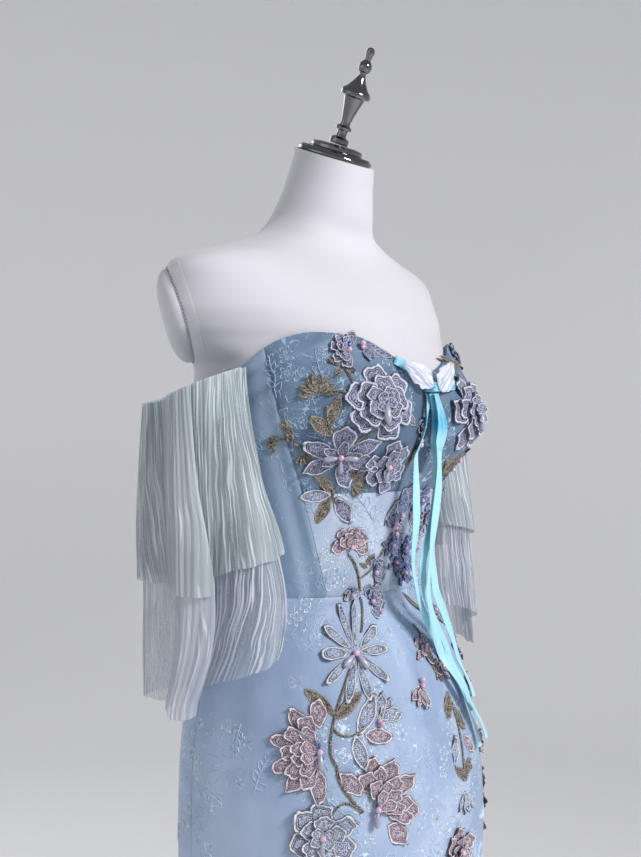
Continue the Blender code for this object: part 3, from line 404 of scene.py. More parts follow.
def lace(name, shade, middle, light, thread, cover=1.0, bare=0.46, bones=()):
    """Corded lace on net over satin: pooled satin tones, pale tracery and a fine net.

    The cover is how strongly the tracery shows, and bare is how much satin it leaves free.
    """
    paint = Paint(name, 0.5, sheen_weight=0.2, sheen_roughness=0.4)
    chart = paint.chart()
    pools = paint.noise(paint.warped(paint.stretched(chart, 1.0, 0.55), 6.0, 0.14), 8.0, 4.0)
    ground = paint.ramp(pools, (0.34, shade), (0.50, middle), (0.66, light))
    fine = paint.noise(paint.stretched(chart, 1.0, 0.25), 260.0, 3.0)
    ground = paint.mix(paint.times(fine, 0.35), ground, light)
    # Painted highlight: soft pale bands over the bones under the cloth, where their ridges would
    # catch the light
    x, y, _ = paint.axes(chart)
    across = paint.math("ABSOLUTE", x)
    for foot, lean in bones:
        away = paint.apart(across, paint.scaled(y, lean, foot - lean * WAIST_Z))
        band = paint.ramp(away, (0.0, 0.55), (0.003, 0.5), (0.006, 0.0))
        ground = paint.mix(band, ground, light)
    # Vines: level lines of soft noise, broken up and kept to patches
    swirled = paint.warped(chart, 42.0, 0.020)
    lines = []
    for scale, level, width in ((64.0, 0.50, 1.0), (105.0, 0.47, 1.4)):
        line = paint.apart(paint.noise(swirled, scale, 0.0), level)
        lines.append(paint.ramp(line, (0.0, 1.0), (0.006 * width, 0.9), (0.016 * width, 0.0)))
    broken = paint.ramp(paint.noise(chart, 150.0, 1.0), (0.40, 0.0), (0.50, 1.0))
    areas = paint.noise(chart, 15.0, 1.0)
    patches = paint.ramp(areas, (bare, 0.0), (bare + 0.08, 1.0))
    vines = paint.times(paint.most(*lines), paint.times(patches, broken))
    # Small flower outlines, one to a cell
    cells = paint.stretched(paint.warped(chart, 90.0, 0.004), 62.0, 62.0)
    spots = paint.node("TexVoronoi", {"Vector": cells, "Scale": 1.0}).outputs
    x, y, _ = paint.axes(paint.vector("SUBTRACT", cells, spots["Position"]))
    turn = paint.times(paint.math("ARCTAN2", y, x), 2.5)
    petals = paint.math("ABSOLUTE", paint.math("COSINE", turn))
    outlines = []
    for start, reach in ((0.10, 0.30), (0.04, 0.12)):
        off = paint.apart(spots["Distance"], paint.scaled(petals, reach, start))
        outlines.append(paint.ramp(off, (0.0, 1.0), (0.026, 0.9), (0.058, 0.0)))
    chance = paint.node("SeparateColor", {0: spots["Color"]}).outputs[0]
    near = paint.ramp(areas, (bare - 0.04, 0.0), (bare + 0.04, 1.0))
    blooms = paint.times(paint.most(*outlines), near)
    blooms = paint.times(blooms, paint.math("GREATER_THAN", chance, 0.45))
    tracery = paint.most(vines, blooms)
    haze = paint.ramp(paint.noise(chart, 34.0, 3.0), (0.42, 0.0), (0.68, 1.0))
    haze = paint.times(patches, paint.times(haze, 0.20 * cover))
    veil = paint.most(paint.times(tracery, 0.88 * cover), haze)
    # Net: two crossed bands of fine threads
    waves = []
    for direction in ((1.0, 1.0), (1.0, -1.0)):
        bands = {"Vector": paint.stretched(chart, *direction), "Scale": 330.0}
        waves.append(paint.node("TexWave", bands, bands_direction="DIAGONAL").outputs[1])
    paint.bump(paint.most(*waves), 0.00012, 0.35)
    paint.bump(tracery, 0.0006 * cover)
    paint.look("Roughness", paint.scaled(fine, 0.3, 0.36))
    return paint.colour(paint.mix(veil, ground, thread))


# Where the embroidery changes tone, from a petal's middle to its rim
RIM_PLACES = (0.00, 0.16, 0.56, 0.61, 0.66, 0.70, 0.73, 0.78, 0.83, 0.94, 0.97)


def stitched(name, dark, heart, pale, accent):
    """Machine embroidery: on the chart, x runs along a petal's edge and y out to its rim."""
    paint = Paint(name, 0.5, sheen_weight=0.15)
    along, rim, _ = paint.axes(paint.chart())
    place = paint.place()
    specks = paint.noise(place, 1150.0)
    uneven = paint.scaled(paint.noise(place, 330.0), 0.16, paint.math("SUBTRACT", rim, 0.08))
    # The last dark band, out at the rim and down the petal's side to the cloth, is partly a dark
    # outline and partly painted shadow between the petals
    tones = (dark, heart, heart, dark, dark, pale, dark, dark, pale, pale, dark)
    bands = paint.ramp(uneven, *zip(RIM_PLACES, tones))
    filling = paint.ramp(specks, (0.41, dark), (0.475, heart), (0.545, pale))
    inside = paint.ramp(uneven, (0.56, 0.70), (0.62, 0.12))
    colour = paint.mix(inside, bands, filling)
    touch = paint.ramp(paint.noise(place, 130.0), (0.60, 0.0), (0.72, 0.75))
    colour = paint.mix(paint.times(touch, inside), colour, accent)
    crumbs = paint.ramp(specks, (0.32, 0.62), (0.50, 1.0))
    paint.bump(paint.stripes(along, 7500.0), 0.00022, 0.7)
    paint.bump(specks, 0.0007, 0.9)
    return paint.colour(paint.mix(0.8, colour, crumbs, blend_type="MULTIPLY"))


def threadwork(name, dark, pale, metallic):
    """Leaves and stems of mottled metal thread with a pale edge."""
    paint = Paint(name, 0.42, metallic)
    along, rim, _ = paint.axes(paint.chart())
    mottle = paint.noise(paint.place(), 1100.0)
    body = paint.ramp(mottle, (0.42, dark), (0.56, pale))
    edge = paint.ramp(rim, (0.80, 0.0), (0.90, 0.7), (0.97, 0.7), (1.0, 0.0))
    paint.bump(paint.stripes(along, 6000.0), 0.0002, 0.7)
    paint.bump(mottle, 0.0007, 0.9)
    return paint.colour(paint.mix(edge, body, pale))


def plain(name, colour, roughness, metallic=0.0, grain=0.0, **settings):
    """One colour with soft wear and, where asked, a fine grain."""
    paint = Paint(name, roughness, metallic, **settings)
    broad = paint.noise(paint.place(), 14.0)
    if grain:
        paint.bump(paint.noise(paint.place(), 900.0, 3.0), grain)
    paint.look("Roughness", paint.scaled(broad, 0.16, roughness - 0.08))
    darker = tuple(0.82 * part for part in colour)
    return paint.colour(paint.mix(paint.ramp(broad, (0.35, 0.0), (0.7, 1.0)), darker, colour))


def pleated(name, veil, ridge, thin, thick):
    """Crinkled net: pale thread lines down the pleats, and see-through between them.

    On the chart, x goes round the sleeve, and the fold that laps over is thicker, with a painted
    highlight along its edge.
    """
    paint = Paint(name, 0.9, specular_ior_level=0.15, sheen_weight=0.1, sheen_roughness=0.5)
    chart = paint.chart()
    sway = paint.warped(chart, 16.0, 0.009)
    streaks = paint.noise(paint.stretched(sway, 1.0, 0.022), 620.0, 1.0)
    wide = paint.noise(paint.stretched(sway, 1.0, 0.05), 120.0)
    hairs = paint.noise(paint.stretched(sway, 1.0, 0.010), 1000.0, 0.0)
    lines = paint.ramp(streaks, (0.57, 0.0), (0.65, 1.0))
    lines = paint.most(lines, paint.ramp(hairs, (0.55, 0.0), (0.64, 0.8)))
    across = paint.times(paint.axes(chart)[0], 10.0)
    lapped = paint.ramp(across, (0.430, 0.0), (0.436, 1.0), (0.71, 0.9), (0.735, 0.0))
    # Painted highlight: a pale line along the lapped fold's edge, where light would catch it
    edge = paint.ramp(across, (0.428, 0.0), (0.434, 1.0), (0.446, 0.0))
    folds = paint.ramp(wide, (0.42, 0.0), (0.64, 1.0))
    net = {"Vector": chart, "Scale": 900.0}
    holes = paint.node("TexVoronoi", net, feature="DISTANCE_TO_EDGE").outputs["Distance"]
    mesh = paint.ramp(holes, (0.05, 1.0), (0.30, 0.0))
    cover = paint.most(paint.scaled(mesh, 0.22, paint.times(folds, 0.36)), lines)
    cover = paint.most(cover, paint.times(lapped, 0.72))
    paint.look("Alpha", paint.scaled(cover, thick - thin, thin))
    paint.bump(streaks, 0.0003, 0.5)
    tone = paint.most(lines, paint.times(folds, 0.42))
    # The lapped fold's painted edge highlight goes into the thread tone here
    tone = paint.most(paint.most(tone, paint.times(lapped, 0.52)), edge)
    return paint.colour(paint.mix(tone, veil, ridge))


def satin(name, shade, light):
    """Ribbon satin with fine ribs across, soft tone changes along it, and paler low down."""
    paint = Paint(name, 0.3, sheen_weight=0.2, coat_weight=0.15, coat_roughness=0.25)
    chart = paint.chart()
    tone = paint.noise(paint.stretched(chart, 0.2, 1.0), 35.0)
    paint.bump(paint.stripes(paint.axes(chart)[1], 9000.0), 0.0001, 0.6)
    height = paint.math("SUBTRACT", paint.axes(paint.place())[2], 0.5)
    tone = paint.math("ADD", tone, paint.ramp(height, (0.61, 0.55), (0.70, 0.0)))
    return paint.colour(paint.ramp(tone, (0.38, shade), (0.72, light)))


def organza(name, body, fold):
    """Stiff, clear silk with pale creases across it."""
    paint = Paint(name, 0.38, sheen_weight=0.2)
    bent = paint.warped(paint.chart(), 60.0, 0.008)
    crinkle = paint.noise(paint.stretched(bent, 1.0, 0.35), 190.0, 3.0)
    creases = paint.ramp(crinkle, (0.46, 0.0), (0.58, 1.0))
    paint.bump(crinkle, 0.0012, 0.8)
    paint.look("Alpha", paint.scaled(creases, 0.34, 0.48))
    return paint.colour(paint.mix(creases, body, fold))


# The armholes of the form: their middle on the left side, and how far they turn from sideways
ARM_CENTRE = (0.1652, 0.0187, 1.2950)
ARM_BACKWARDS_DEG = 40.0
ARM_DOWNWARDS_DEG = 17.5


def arm_direction(side):
    """Which way an armhole faces."""
    back, down = math.radians(ARM_BACKWARDS_DEG), math.radians(ARM_DOWNWARDS_DEG)
    level = math.cos(down)
    return Vector((side * math.cos(back) * level, math.sin(back) * level, -math.sin(down)))


def jersey(name, colour):
    """Fine knit stretched on the form, with a tape sewn round each armhole."""
    paint = Paint(name, 0.78, sheen_weight=0.15)
    place = paint.place()
    x, y, z = paint.axes(place)
    folded = paint.node("CombineXYZ", {0: paint.math("ABSOLUTE", x), 1: y, 2: z}).outputs[0]
    off = {0: paint.vector("SUBTRACT", folded, ARM_CENTRE), 1: arm_direction(1)}
    away = paint.node("VectorMath", off, operation="DOT_PRODUCT").outputs["Value"]
    tape = paint.ramp(
        paint.scaled(away, 25.0, 0.5), (0.24, 0.0), (0.255, 1.0), (0.455, 1.0), (0.47, 0.0)
    )
    high = paint.ramp(paint.math("SUBTRACT", z, 1.0), (0.250, 0.0), (0.262, 1.0))
    tape = paint.times(tape, high)
    darker = tuple(0.93 * part for part in colour)
    shades = paint.ramp(paint.noise(place, 9.0), (0.35, darker), (0.65, colour))
    paint.bump(paint.noise(place, 1500.0), 0.00012)
    paint.bump(tape, 0.0009, 0.8)
    lighter = tuple(min(1.0, 1.12 * part) for part in colour)
    return paint.colour(paint.mix(paint.times(tape, 0.6), shades, lighter))


# Bones at the front: their place across at the waist, and how they lean outwards above it
BONES = ((0.046, 0.25), (0.135, 0.215))
CUP_TONES = ((0.030, 0.070, 0.13), (0.066, 0.124, 0.21), (0.145, 0.222, 0.335), (0.42, 0.60, 0.80))
CUPS = lace("cup_lace", *CUP_TONES, 0.95, 0.34)
MIDRIFF_TONES = ((0.20, 0.28, 0.40), (0.35, 0.43, 0.57), (0.52, 0.60, 0.74), (0.72, 0.83, 0.96))
MIDRIFF = lace("midriff_lace", *MIDRIFF_TONES, 0.9, 0.42, BONES)
SIDE_TONES = ((0.105, 0.19, 0.295), (0.198, 0.30, 0.43), (0.35, 0.455, 0.60), (0.46, 0.62, 0.78))
SIDES = lace("side_satin", *SIDE_TONES, 0.5, 0.44, BONES)
SKIRT_TONES = ((0.17, 0.26, 0.42), (0.295, 0.40, 0.585), (0.43, 0.53, 0.71), (0.68, 0.82, 0.98))
SKIRT = lace("skirt_lace", *SKIRT_TONES)

# Petals and leaves, in the order of their tints
BRONZE = threadwork("leaf_bronze", (0.030, 0.025, 0.022), (0.42, 0.37, 0.31), 0.35)
TINTS = ("lilac", "pale", "pink", "bronze", "deep")
TONES = {
    "lilac": ((0.008, 0.009, 0.045), (0.13, 0.15, 0.34), (0.78, 0.82, 1.0), (0.03, 0.12, 0.55)),
    "pale": ((0.018, 0.045, 0.16), (0.36, 0.47, 0.74), (0.96, 0.98, 1.0), (0.06, 0.24, 0.72)),
    "pink": ((0.040, 0.018, 0.035), (0.36, 0.27, 0.37), (1.0, 0.88, 0.98), (0.22, 0.12, 0.26)),
    "deep": ((0.010, 0.018, 0.075), (0.10, 0.14, 0.36), (0.50, 0.58, 0.90), (0.02, 0.10, 0.50)),
}
PETALS = [stitched("petal_" + tint, *TONES[tint]) if tint in TONES else BRONZE for tint in TINTS]

THREAD = plain("tracery_thread", (0.58, 0.74, 0.92), 0.5)
CUP_THREAD = plain("tracery_cup_thread", (0.42, 0.58, 0.76), 0.5)
TULLE = pleated("tulle_pleats", (0.30, 0.355, 0.38), (0.60, 0.665, 0.70), 0.40, 0.90)
LOW_TULLE = pleated("tulle_low_pleats", (0.29, 0.335, 0.40), (0.64, 0.68, 0.75), 0.26, 0.84)
BAND = pleated("band_pleats", (0.34, 0.44, 0.46), (0.54, 0.64, 0.65), 0.74, 1.0)
RIBBON = satin("ribbon_satin_blue", (0.03, 0.40, 0.62), (0.40, 0.76, 0.88))
ORGANZA = organza("organza_white", (0.66, 0.72, 0.86), (0.92, 0.94, 1.0))
FORM = jersey("form_jersey", (0.63, 0.62, 0.665))
STITCH = plain("form_stitches", (0.16, 0.14, 0.18), 0.7)
BEAD_TINTS = ("pink", "grey", "blue", "clear")
JEWELS = (
    plain("bead_pink", (0.74, 0.46, 0.62), 0.25, coat_weight=0.5),
    plain("bead_grey", (0.42, 0.42, 0.53), 0.28, 0.1, coat_weight=0.4),
    plain("bead_blue", (0.03, 0.09, 0.42), 0.2, coat_weight=0.6),
    plain("bead_clear", (0.70, 0.76, 0.80), 0.12, 0.2, coat_weight=0.8),
)
CHROME = plain("finial_chrome", (0.22, 0.22, 0.235), 0.08, 1.0)
METAL = plain("stand_steel", (0.56, 0.56, 0.58), 0.30, 1.0, grain=0.00004)

# The gown's panels: the step between their points, and the height where their width is taken
BODICE_MESH = (0.0036, 1.10)
SKIRT_MESH = (0.0065, 0.85)
PANEL_FULLNESS = 1.2
PANEL_TOP_Z = 1.24
SEAM_ROUNDS = 8
SEAM_ROLL = 0.0009
ROLL_SPREAD = 0.0012
# Seams, by their angles at the waist and at the neckline
FRONT, BACK_RIGHT, BACK_LEFT = (0, 0), (-180, -180), (180, 180)
PRINCESS_RIGHT, PRINCESS_LEFT = (-46, -70), (46, 70)
SIDE_RIGHT, SIDE_LEFT = (-112.5, -112.5), (112.5, 112.5)
HIP_RIGHT, HIP_LEFT = (-97.5, -97.5), (97.5, 97.5)
CUTS = table(
    "node left right low high",
    ("cup_right", PRINCESS_RIGHT, FRONT, UNDERBUST_Z, None),
    ("cup_left", FRONT, PRINCESS_LEFT, UNDERBUST_Z, None),
    ("midriff_front", PRINCESS_RIGHT, PRINCESS_LEFT, WAIST_Z, UNDERBUST_Z),
    ("side_right", SIDE_RIGHT, PRINCESS_RIGHT, WAIST_Z, None),
    ("side_left", PRINCESS_LEFT, SIDE_LEFT, WAIST_Z, None),
    ("back_right", BACK_RIGHT, SIDE_RIGHT, WAIST_Z, None),
    ("back_left", SIDE_LEFT, BACK_LEFT, WAIST_Z, None),
    ("skirt_front", HIP_RIGHT, HIP_LEFT, HEM_Z, WAIST_Z),
    ("skirt_back_right", BACK_RIGHT, HIP_RIGHT, HEM_Z, WAIST_Z),
    ("skirt_back_left", HIP_LEFT, BACK_LEFT, HEM_Z, WAIST_Z),
)
FABRICS = {"cup": CUPS, "midriff": MIDRIFF, "side": SIDES, "back": SKIRT, "skirt": SKIRT}


def seam_angle(ends, z):
    share = (z - WAIST_Z) / (neckline(ends[1]) - WAIST_Z)
    return ends[0] + (ends[1] - ends[0]) * np.clip(share, 0, 1)


def shares(length, step):
    """Even steps over a length as shares of it, with close ones along both edges."""
    edge = (0.0, 0.0012, 0.0030)
    middle = np.linspace(0.006, length - 0.006, max(2, round((length - 0.012) / step)))
    return np.concatenate([edge, middle, [length - e for e in reversed(edge)]]) / length


def panel(cut, with_pieces=()):
    is_skirt = cut.low < WAIST_Z
    step, middle_z = SKIRT_MESH if is_skirt else BODICE_MESH
    girth = math.radians(abs(cut.right[0] - cut.left[0])) * float(gown_radius(0, middle_z))
    girth = girth * PANEL_FULLNESS
    s = shares(girth, step)[None, :]
    t = shares((cut.high or PANEL_TOP_Z) - cut.low, step)[:, None]
    low = cut.low + (SEAM_GAP / 2 if cut.low > HEM_Z else 0.0)
    angle = cut.left[0] + (cut.right[0] - cut.left[0]) * s
    # The seams, the neckline and the places between them depend on one another
    for _ in range(SEAM_ROUNDS):
        top = cut.high - SEAM_GAP / 2 if cut.high else neckline(angle)
        z = low + (top - low) * t
        aside = np.degrees(SEAM_GAP / 2 / gown_radius(angle, z))
        left, right = seam_angle(cut.left, z) + aside, seam_angle(cut.right, z) - aside
        angle = left + (right - left) * s
    s, z = s + 0 * z, z + 0 * angle
    roll = np.maximum(bell(np.minimum(s, 1 - s) * girth, ROLL_SPREAD), bell(top - z, ROLL_SPREAD))
    if cut.low > HEM_Z:
        roll = np.maximum(roll, bell(z - low, ROLL_SPREAD))
    outer = skin(angle, z, -SEAM_ROLL * roll)
    inner = at(angle, z, gown_radius(angle, z) - WALL)
    places = joined(np.radians(angle) * CHART_RADIUS, z)
    material = FABRICS[cut.node.split("_")[0]]
    piece = walled("gown_" + cut.node, outer, inner, places, material)
    declare(piece, cut.node)


# Applique: petals, leaves and beads laid on the gown's cloth
SHAPES = named(
    "egg sharp ruffle waves",
    round=(0.2, 0.05, 0.07, 5), ruffled=(0.2, -0.08, 0.085, 5), pointed=(0.0, 0.5, 0.06, 5),
    long=(0.3, 0.15, 0.03, 7), heart=(0.35, 0.0, 0.09, 3), leaf=(-0.05, 0.6, 0.03, 11),
    blade=(-0.1, 0.9, 0.0, 3),
)
FLOWERS = tables(
    "count arc away length width lift rise shape",
    rose=[
        (6, 360, 0.62, 0.42, 0.36, 0.0008, 0.0024, "ruffled"),
        (5, 360, 0.42, 0.36, 0.33, 0.0024, 0.0026, "ruffled"),
        (4, 360, 0.25, 0.28, 0.25, 0.0042, 0.0026, "ruffled"),
        (3, 360, 0.12, 0.18, 0.15, 0.006, 0.0018, "heart"),
    ],
    rosette=[
        (6, 360, 0.6, 0.42, 0.34, 0.0008, 0.0022, "ruffled"),
        (5, 360, 0.36, 0.3, 0.28, 0.0024, 0.0022, "ruffled"),
        (4, 360, 0.17, 0.2, 0.17, 0.004, 0.0014, "round"),
    ],
    peony=[
        (6, 210, 1.22, 0.56, 0.3, 0.0008, 0.0018, "pointed"),
        (5, 170, 0.92, 0.46, 0.28, 0.002, 0.0018, "ruffled"),
        (4, 140, 0.62, 0.38, 0.25, 0.0034, 0.0016, "ruffled"),
        (2, 90, 0.36, 0.32, 0.2, 0.0048, 0.0012, "heart"),
    ],
    star=[
        (6, 360, 0.58, 0.46, 0.25, 0.0008, 0.0026, "pointed"),
        (5, 360, 0.26, 0.26, 0.14, 0.0026, 0.0018, "pointed"),
    ],
    daisy=[(10, 360, 0.58, 0.43, 0.11, 0.001, 0.0018, "long")],
    fan=[
        (5, 220, 0.58, 0.42, 0.3, 0.001, 0.0014, "ruffled"),
        (4, 180, 0.38, 0.34, 0.26, 0.0022, 0.0014, "ruffled"),
        (3, 120, 0.2, 0.24, 0.18, 0.0036, 0.001, "heart"),
    ],
    bloom=[
        (5, 360, 0.54, 0.44, 0.26, 0.0008, 0.0018, "pointed"),
        (4, 360, 0.22, 0.24, 0.18, 0.0022, 0.0012, "round"),
    ],
    bud=[(4, 90, 0.52, 0.48, 0.2, 0.0008, 0.0016, "pointed")],
    bell=[(4, 110, 0.55, 0.55, 0.16, 0.001, 0.0014, "blade")],
    leaf=[(1, 0, 0.0, 1.0, 0.4, 0.0008, 0.001, "leaf")],
    blade=[(1, 0, 0.0, 1.0, 0.2, 0.0008, 0.0012, "blade")],
    feather=[(8, 200, 0.58, 0.44, 0.16, 0.0008, 0.0014, "leaf")],
    sprout=[(4, 360, 0.55, 0.48, 0.22, 0.0008, 0.0012, "leaf")],
)
# How wide and how tall a kind is drawn, as shares of its size
STRETCH = {"daisy": (0.76, 1.0), "star": (1.05, 0.84)}
# What a flower's middle carries: its bead's radius, its drop beads and their length
MIDDLES = named(
    "bead lift drops length blues",
    rose=(0.0, 0.0075, 1, 0.017, 0), rosette=(0.0027, 0.0048, 1, 0.013, 0),
    peony=(0.0028, 0.006, 1, 0.014, 2), star=(0.0027, 0.0044, 3, 0.014, 0),
    daisy=(0.0029, 0.0036, 2, 0.015, 0), fan=(0.0022, 0.0044, 0, 0.0, 1),
    bloom=(0.0018, 0.0036, 0, 0.0, 1), bud=(0.0022, 0.003, 0, 0.0, 0),
)
BODICE_MOTIFS = table(
    "kind angle z size turn tint",
    # Wearer's right cup
    ("rose", -29, 1.209, 0.064, 10, "lilac"), ("fan", -38.5, 1.2545, 0.033, 168, "lilac"),
    ("bud", -33, 1.257, 0.026, -30, "lilac"), ("sprout", -41.5, 1.241, 0.024, 20, "bronze"),
    ("leaf", -24, 1.252, 0.018, -20, "lilac"), ("blade", -18, 1.246, 0.022, -35, "bronze"),
    ("feather", -50, 1.216, 0.034, 95, "bronze"), ("leaf", -45, 1.201, 0.028, 68, "bronze"),
    ("leaf", -49, 1.189, 0.028, -42, "bronze"), ("leaf", -60.5, 1.186, 0.02, -60, "bronze"),
    ("feather", -65, 1.174, 0.016, 170, "bronze"), ("feather", -55.5, 1.165, 0.02, -30, "bronze"),
    ("star", -42, 1.162, 0.066, 8, "lilac"), ("rosette", -21.8, 1.153, 0.046, 12, "lilac"),
    ("leaf", -18, 1.196, 0.022, -35, "lilac"), ("bloom", -7, 1.188, 0.02, 0, "lilac"),
    ("bud", -5, 1.176, 0.018, -80, "lilac"), ("leaf", -6, 1.164, 0.022, 80, "bronze"),
    # Wearer's left cup
    ("rose", 23, 1.202, 0.066, 30, "lilac"), ("fan", 34, 1.253, 0.03, 60, "lilac"),
    ("blade", 20, 1.251, 0.024, -15, "bronze"), ("leaf", 27, 1.247, 0.02, 10, "bronze"),
    ("leaf", 45, 1.243, 0.022, 60, "lilac"), ("bud", 42, 1.225, 0.026, 20, "lilac"),
    ("feather", 24, 1.16, 0.034, -80, "bronze"), ("bud", 36, 1.156, 0.026, 60, "lilac"),
    ("blade", 31, 1.144, 0.034, 50, "lilac"),
    # Midriff
    ("leaf", -47.5, 1.14, 0.024, -48, "bronze"), ("feather", -36, 1.139, 0.026, 15, "bronze"),
    ("leaf", -51, 1.129, 0.028, 4, "pale"), ("leaf", -48, 1.116, 0.026, 62, "bronze"),
    ("leaf", -39, 1.116, 0.032, -58, "lilac"), ("fan", -34.2, 1.083, 0.038, 84, "pink"),
    ("leaf", -23, 1.071, 0.014, 50, "bronze"), ("leaf", -27, 1.066, 0.01, -30, "bronze"),
    ("leaf", -4, 1.12, 0.032, 85, "deep"), ("bud", -8, 1.098, 0.026, 110, "deep"),
    ("bud", -6, 1.092, 0.024, 30, "lilac"), ("fan", -19.5, 1.059, 0.028, 20, "lilac"),
    ("fan", -33, 1.04, 0.017, 100, "pale"), ("bud", -3, 1.108, 0.03, 80, "deep"),
    ("leaf", 1, 1.128, 0.026, 60, "lilac"), ("bloom", -4, 1.066, 0.022, 50, "deep"),
    ("leaf", 8, 1.105, 0.026, 115, "lilac"), ("bloom", 3, 1.078, 0.03, 0, "deep"),
    ("bloom", 5, 1.055, 0.028, 30, "deep"), ("bloom", 11, 1.121, 0.03, 0, "deep"),
    ("bloom", 22, 1.104, 0.03, 20, "lilac"), ("bloom", 15, 1.09, 0.022, 40, "pale"),
    ("leaf", -11, 1.112, 0.026, 60, "lilac"), ("bloom", -8, 1.082, 0.026, 20, "deep"),
    ("leaf", -2, 1.092, 0.028, 100, "lilac"), ("leaf", 9, 1.066, 0.026, 130, "deep"),
    ("blade", 30, 1.113, 0.038, 12, "lilac"), ("blade", 31, 1.12, 0.034, 38, "lilac"),
    ("blade", 30, 1.107, 0.028, -8, "lilac"),
    # Sides and back
    ("rosette", 78, 1.17, 0.044, 0, "lilac"), ("leaf", 70, 1.15, 0.028, -60, "bronze"),
    ("leaf", 84, 1.142, 0.026, -110, "bronze"), ("star", 140, 1.15, 0.056, 10, "lilac"),
    ("leaf", 128, 1.128, 0.028, 50, "bronze"), ("leaf", 134, 1.118, 0.026, -60, "bronze"),
    ("fan", 150, 1.095, 0.03, 90, "pink"), ("rose", -138, 1.152, 0.056, 0, "lilac"),
    ("leaf", -152, 1.132, 0.028, -50, "bronze"), ("leaf", -144, 1.116, 0.026, 60, "bronze"),
    ("bloom", -124, 1.11, 0.028, 0, "pale"), ("rosette", -92, 1.17, 0.036, 20, "lilac"),
)
SKIRT_MOTIFS = table(
    "kind angle z size turn tint",
    ("fan", -21.6, 1.034, 0.031, 20, "lilac"), ("blade", 12, 1.026, 0.03, -42, "bronze"),
    ("daisy", -35.1, 0.9947, 0.082, 18, "pale"), ("leaf", -49.5, 0.957, 0.03, -38, "bronze"),
    ("leaf", -39.2, 0.953, 0.03, 42, "bronze"), ("peony", -49.3, 0.918, 0.049, 184, "pink"),
    ("leaf", -33.2, 0.945, 0.036, 60, "pale"), ("bud", -29.0, 0.939, 0.046, 38, "pale"),
    ("leaf", -29.5, 0.927, 0.03, -8, "pink"), ("leaf", -36.5, 0.915, 0.031, -76, "pale"),
    ("peony", -31.8, 0.869, 0.05, 42, "pink"), ("rosette", -48.5, 0.8476, 0.058, 0, "pale"),
    ("bloom", 2, 0.988, 0.03, 0, "pink"), ("blade", 5, 0.972, 0.028, -75, "bronze"),
    ("bloom", 10, 0.972, 0.024, 0, "pink"), ("bud", -7, 0.961, 0.04, -112, "pink"),
    ("bloom", 30, 1.016, 0.026, 0, "lilac"), ("bloom", 37, 1.0, 0.024, 0, "lilac"),
    ("bloom", 34, 0.98, 0.026, 30, "lilac"), ("blade", 42, 0.972, 0.03, -40, "lilac"),
    ("leaf", 6, 0.938, 0.026, 70, "bronze"), ("leaf", 12, 0.925, 0.024, -70, "bronze"),
    ("leaf", 5, 0.9, 0.026, 80, "pale"), ("leaf", 15, 0.901, 0.022, -60, "pink"),
    ("leaf", 7, 0.879, 0.022, -40, "bronze"), ("leaf", 12, 0.881, 0.022, 60, "bronze"),
    ("bell", 9, 0.862, 0.036, -95, "pale"), ("rosette", 4, 0.812, 0.044, 0, "pink"),
    ("bloom", 33, 0.944, 0.028, 0, "pink"), ("bloom", 31, 0.894, 0.026, 20, "pink"),
    # Sides, back and lower skirt
    ("peony", -96, 0.735, 0.06, 60, "pink"), ("leaf", -104, 0.768, 0.03, 120, "bronze"),
    ("rosette", -64, 0.752, 0.054, 0, "pale"), ("leaf", -74, 0.725, 0.028, -40, "bronze"),
    ("daisy", 66, 0.94, 0.074, 0, "pale"), ("leaf", 76, 0.895, 0.03, -50, "bronze"),
    ("leaf", 68, 0.885, 0.03, -120, "bronze"), ("peony", 58, 0.83, 0.058, 200, "pink"),
    ("rosette", 96, 0.84, 0.052, 20, "pale"), ("peony", 140, 0.9, 0.06, 110, "pink"),
    ("leaf", 128, 0.94, 0.03, 60, "bronze"), ("daisy", -138, 0.925, 0.074, 20, "pale"),
    ("leaf", -126, 0.88, 0.03, -60, "bronze"), ("rosette", -160, 0.84, 0.056, 0, "pale"),
    ("rosette", 172, 0.8, 0.052, 0, "pink"), ("daisy", -12, 0.74, 0.078, 0, "pale"),
    ("leaf", -20, 0.69, 0.03, -60, "bronze"), ("leaf", -6, 0.69, 0.03, -110, "bronze"),
    ("peony", -40, 0.7, 0.06, 150, "pink"), ("rosette", 24, 0.69, 0.056, 0, "pale"),
    ("rosette", -22, 0.59, 0.05, 0, "pink"), ("peony", 8, 0.6, 0.058, 30, "pink"),
    ("leaf", 30, 0.61, 0.03, 40, "bronze"), ("daisy", 60, 0.64, 0.07, 0, "pale"),
    ("peony", -78, 0.62, 0.058, 60, "pink"), ("rosette", 110, 0.66, 0.052, 0, "pink"),
    ("rosette", -118, 0.68, 0.052, 0, "pale"), ("peony", 158, 0.62, 0.056, 90, "pink"),
    ("daisy", -156, 0.6, 0.07, 0, "pale"),
)
# Loose crystals and small beads
BODICE_BEADS = table(
    "angle z radius lift tint",
    (-4, 1.1725, 0.0026, 0.003, "clear"), (3, 1.145, 0.0028, 0.003, "clear"),
    (-8, 1.102, 0.0022, 0.004, "pink"), (24, 1.09, 0.0018, 0.003, "clear"),
    (17, 1.076, 0.0018, 0.003, "clear"), (7, 1.096, 0.0018, 0.004, "clear"),
    (30, 1.148, 0.0024, 0.003, "pink"), (-33, 1.26, 0.0026, 0.005, "pink"),
)
SKIRT_BEADS = table(
    "angle z radius lift tint",
    (-6.5, 0.966, 0.0026, 0.004, "pink"), (-28.5, 0.937, 0.0024, 0.005, "pink"),
)
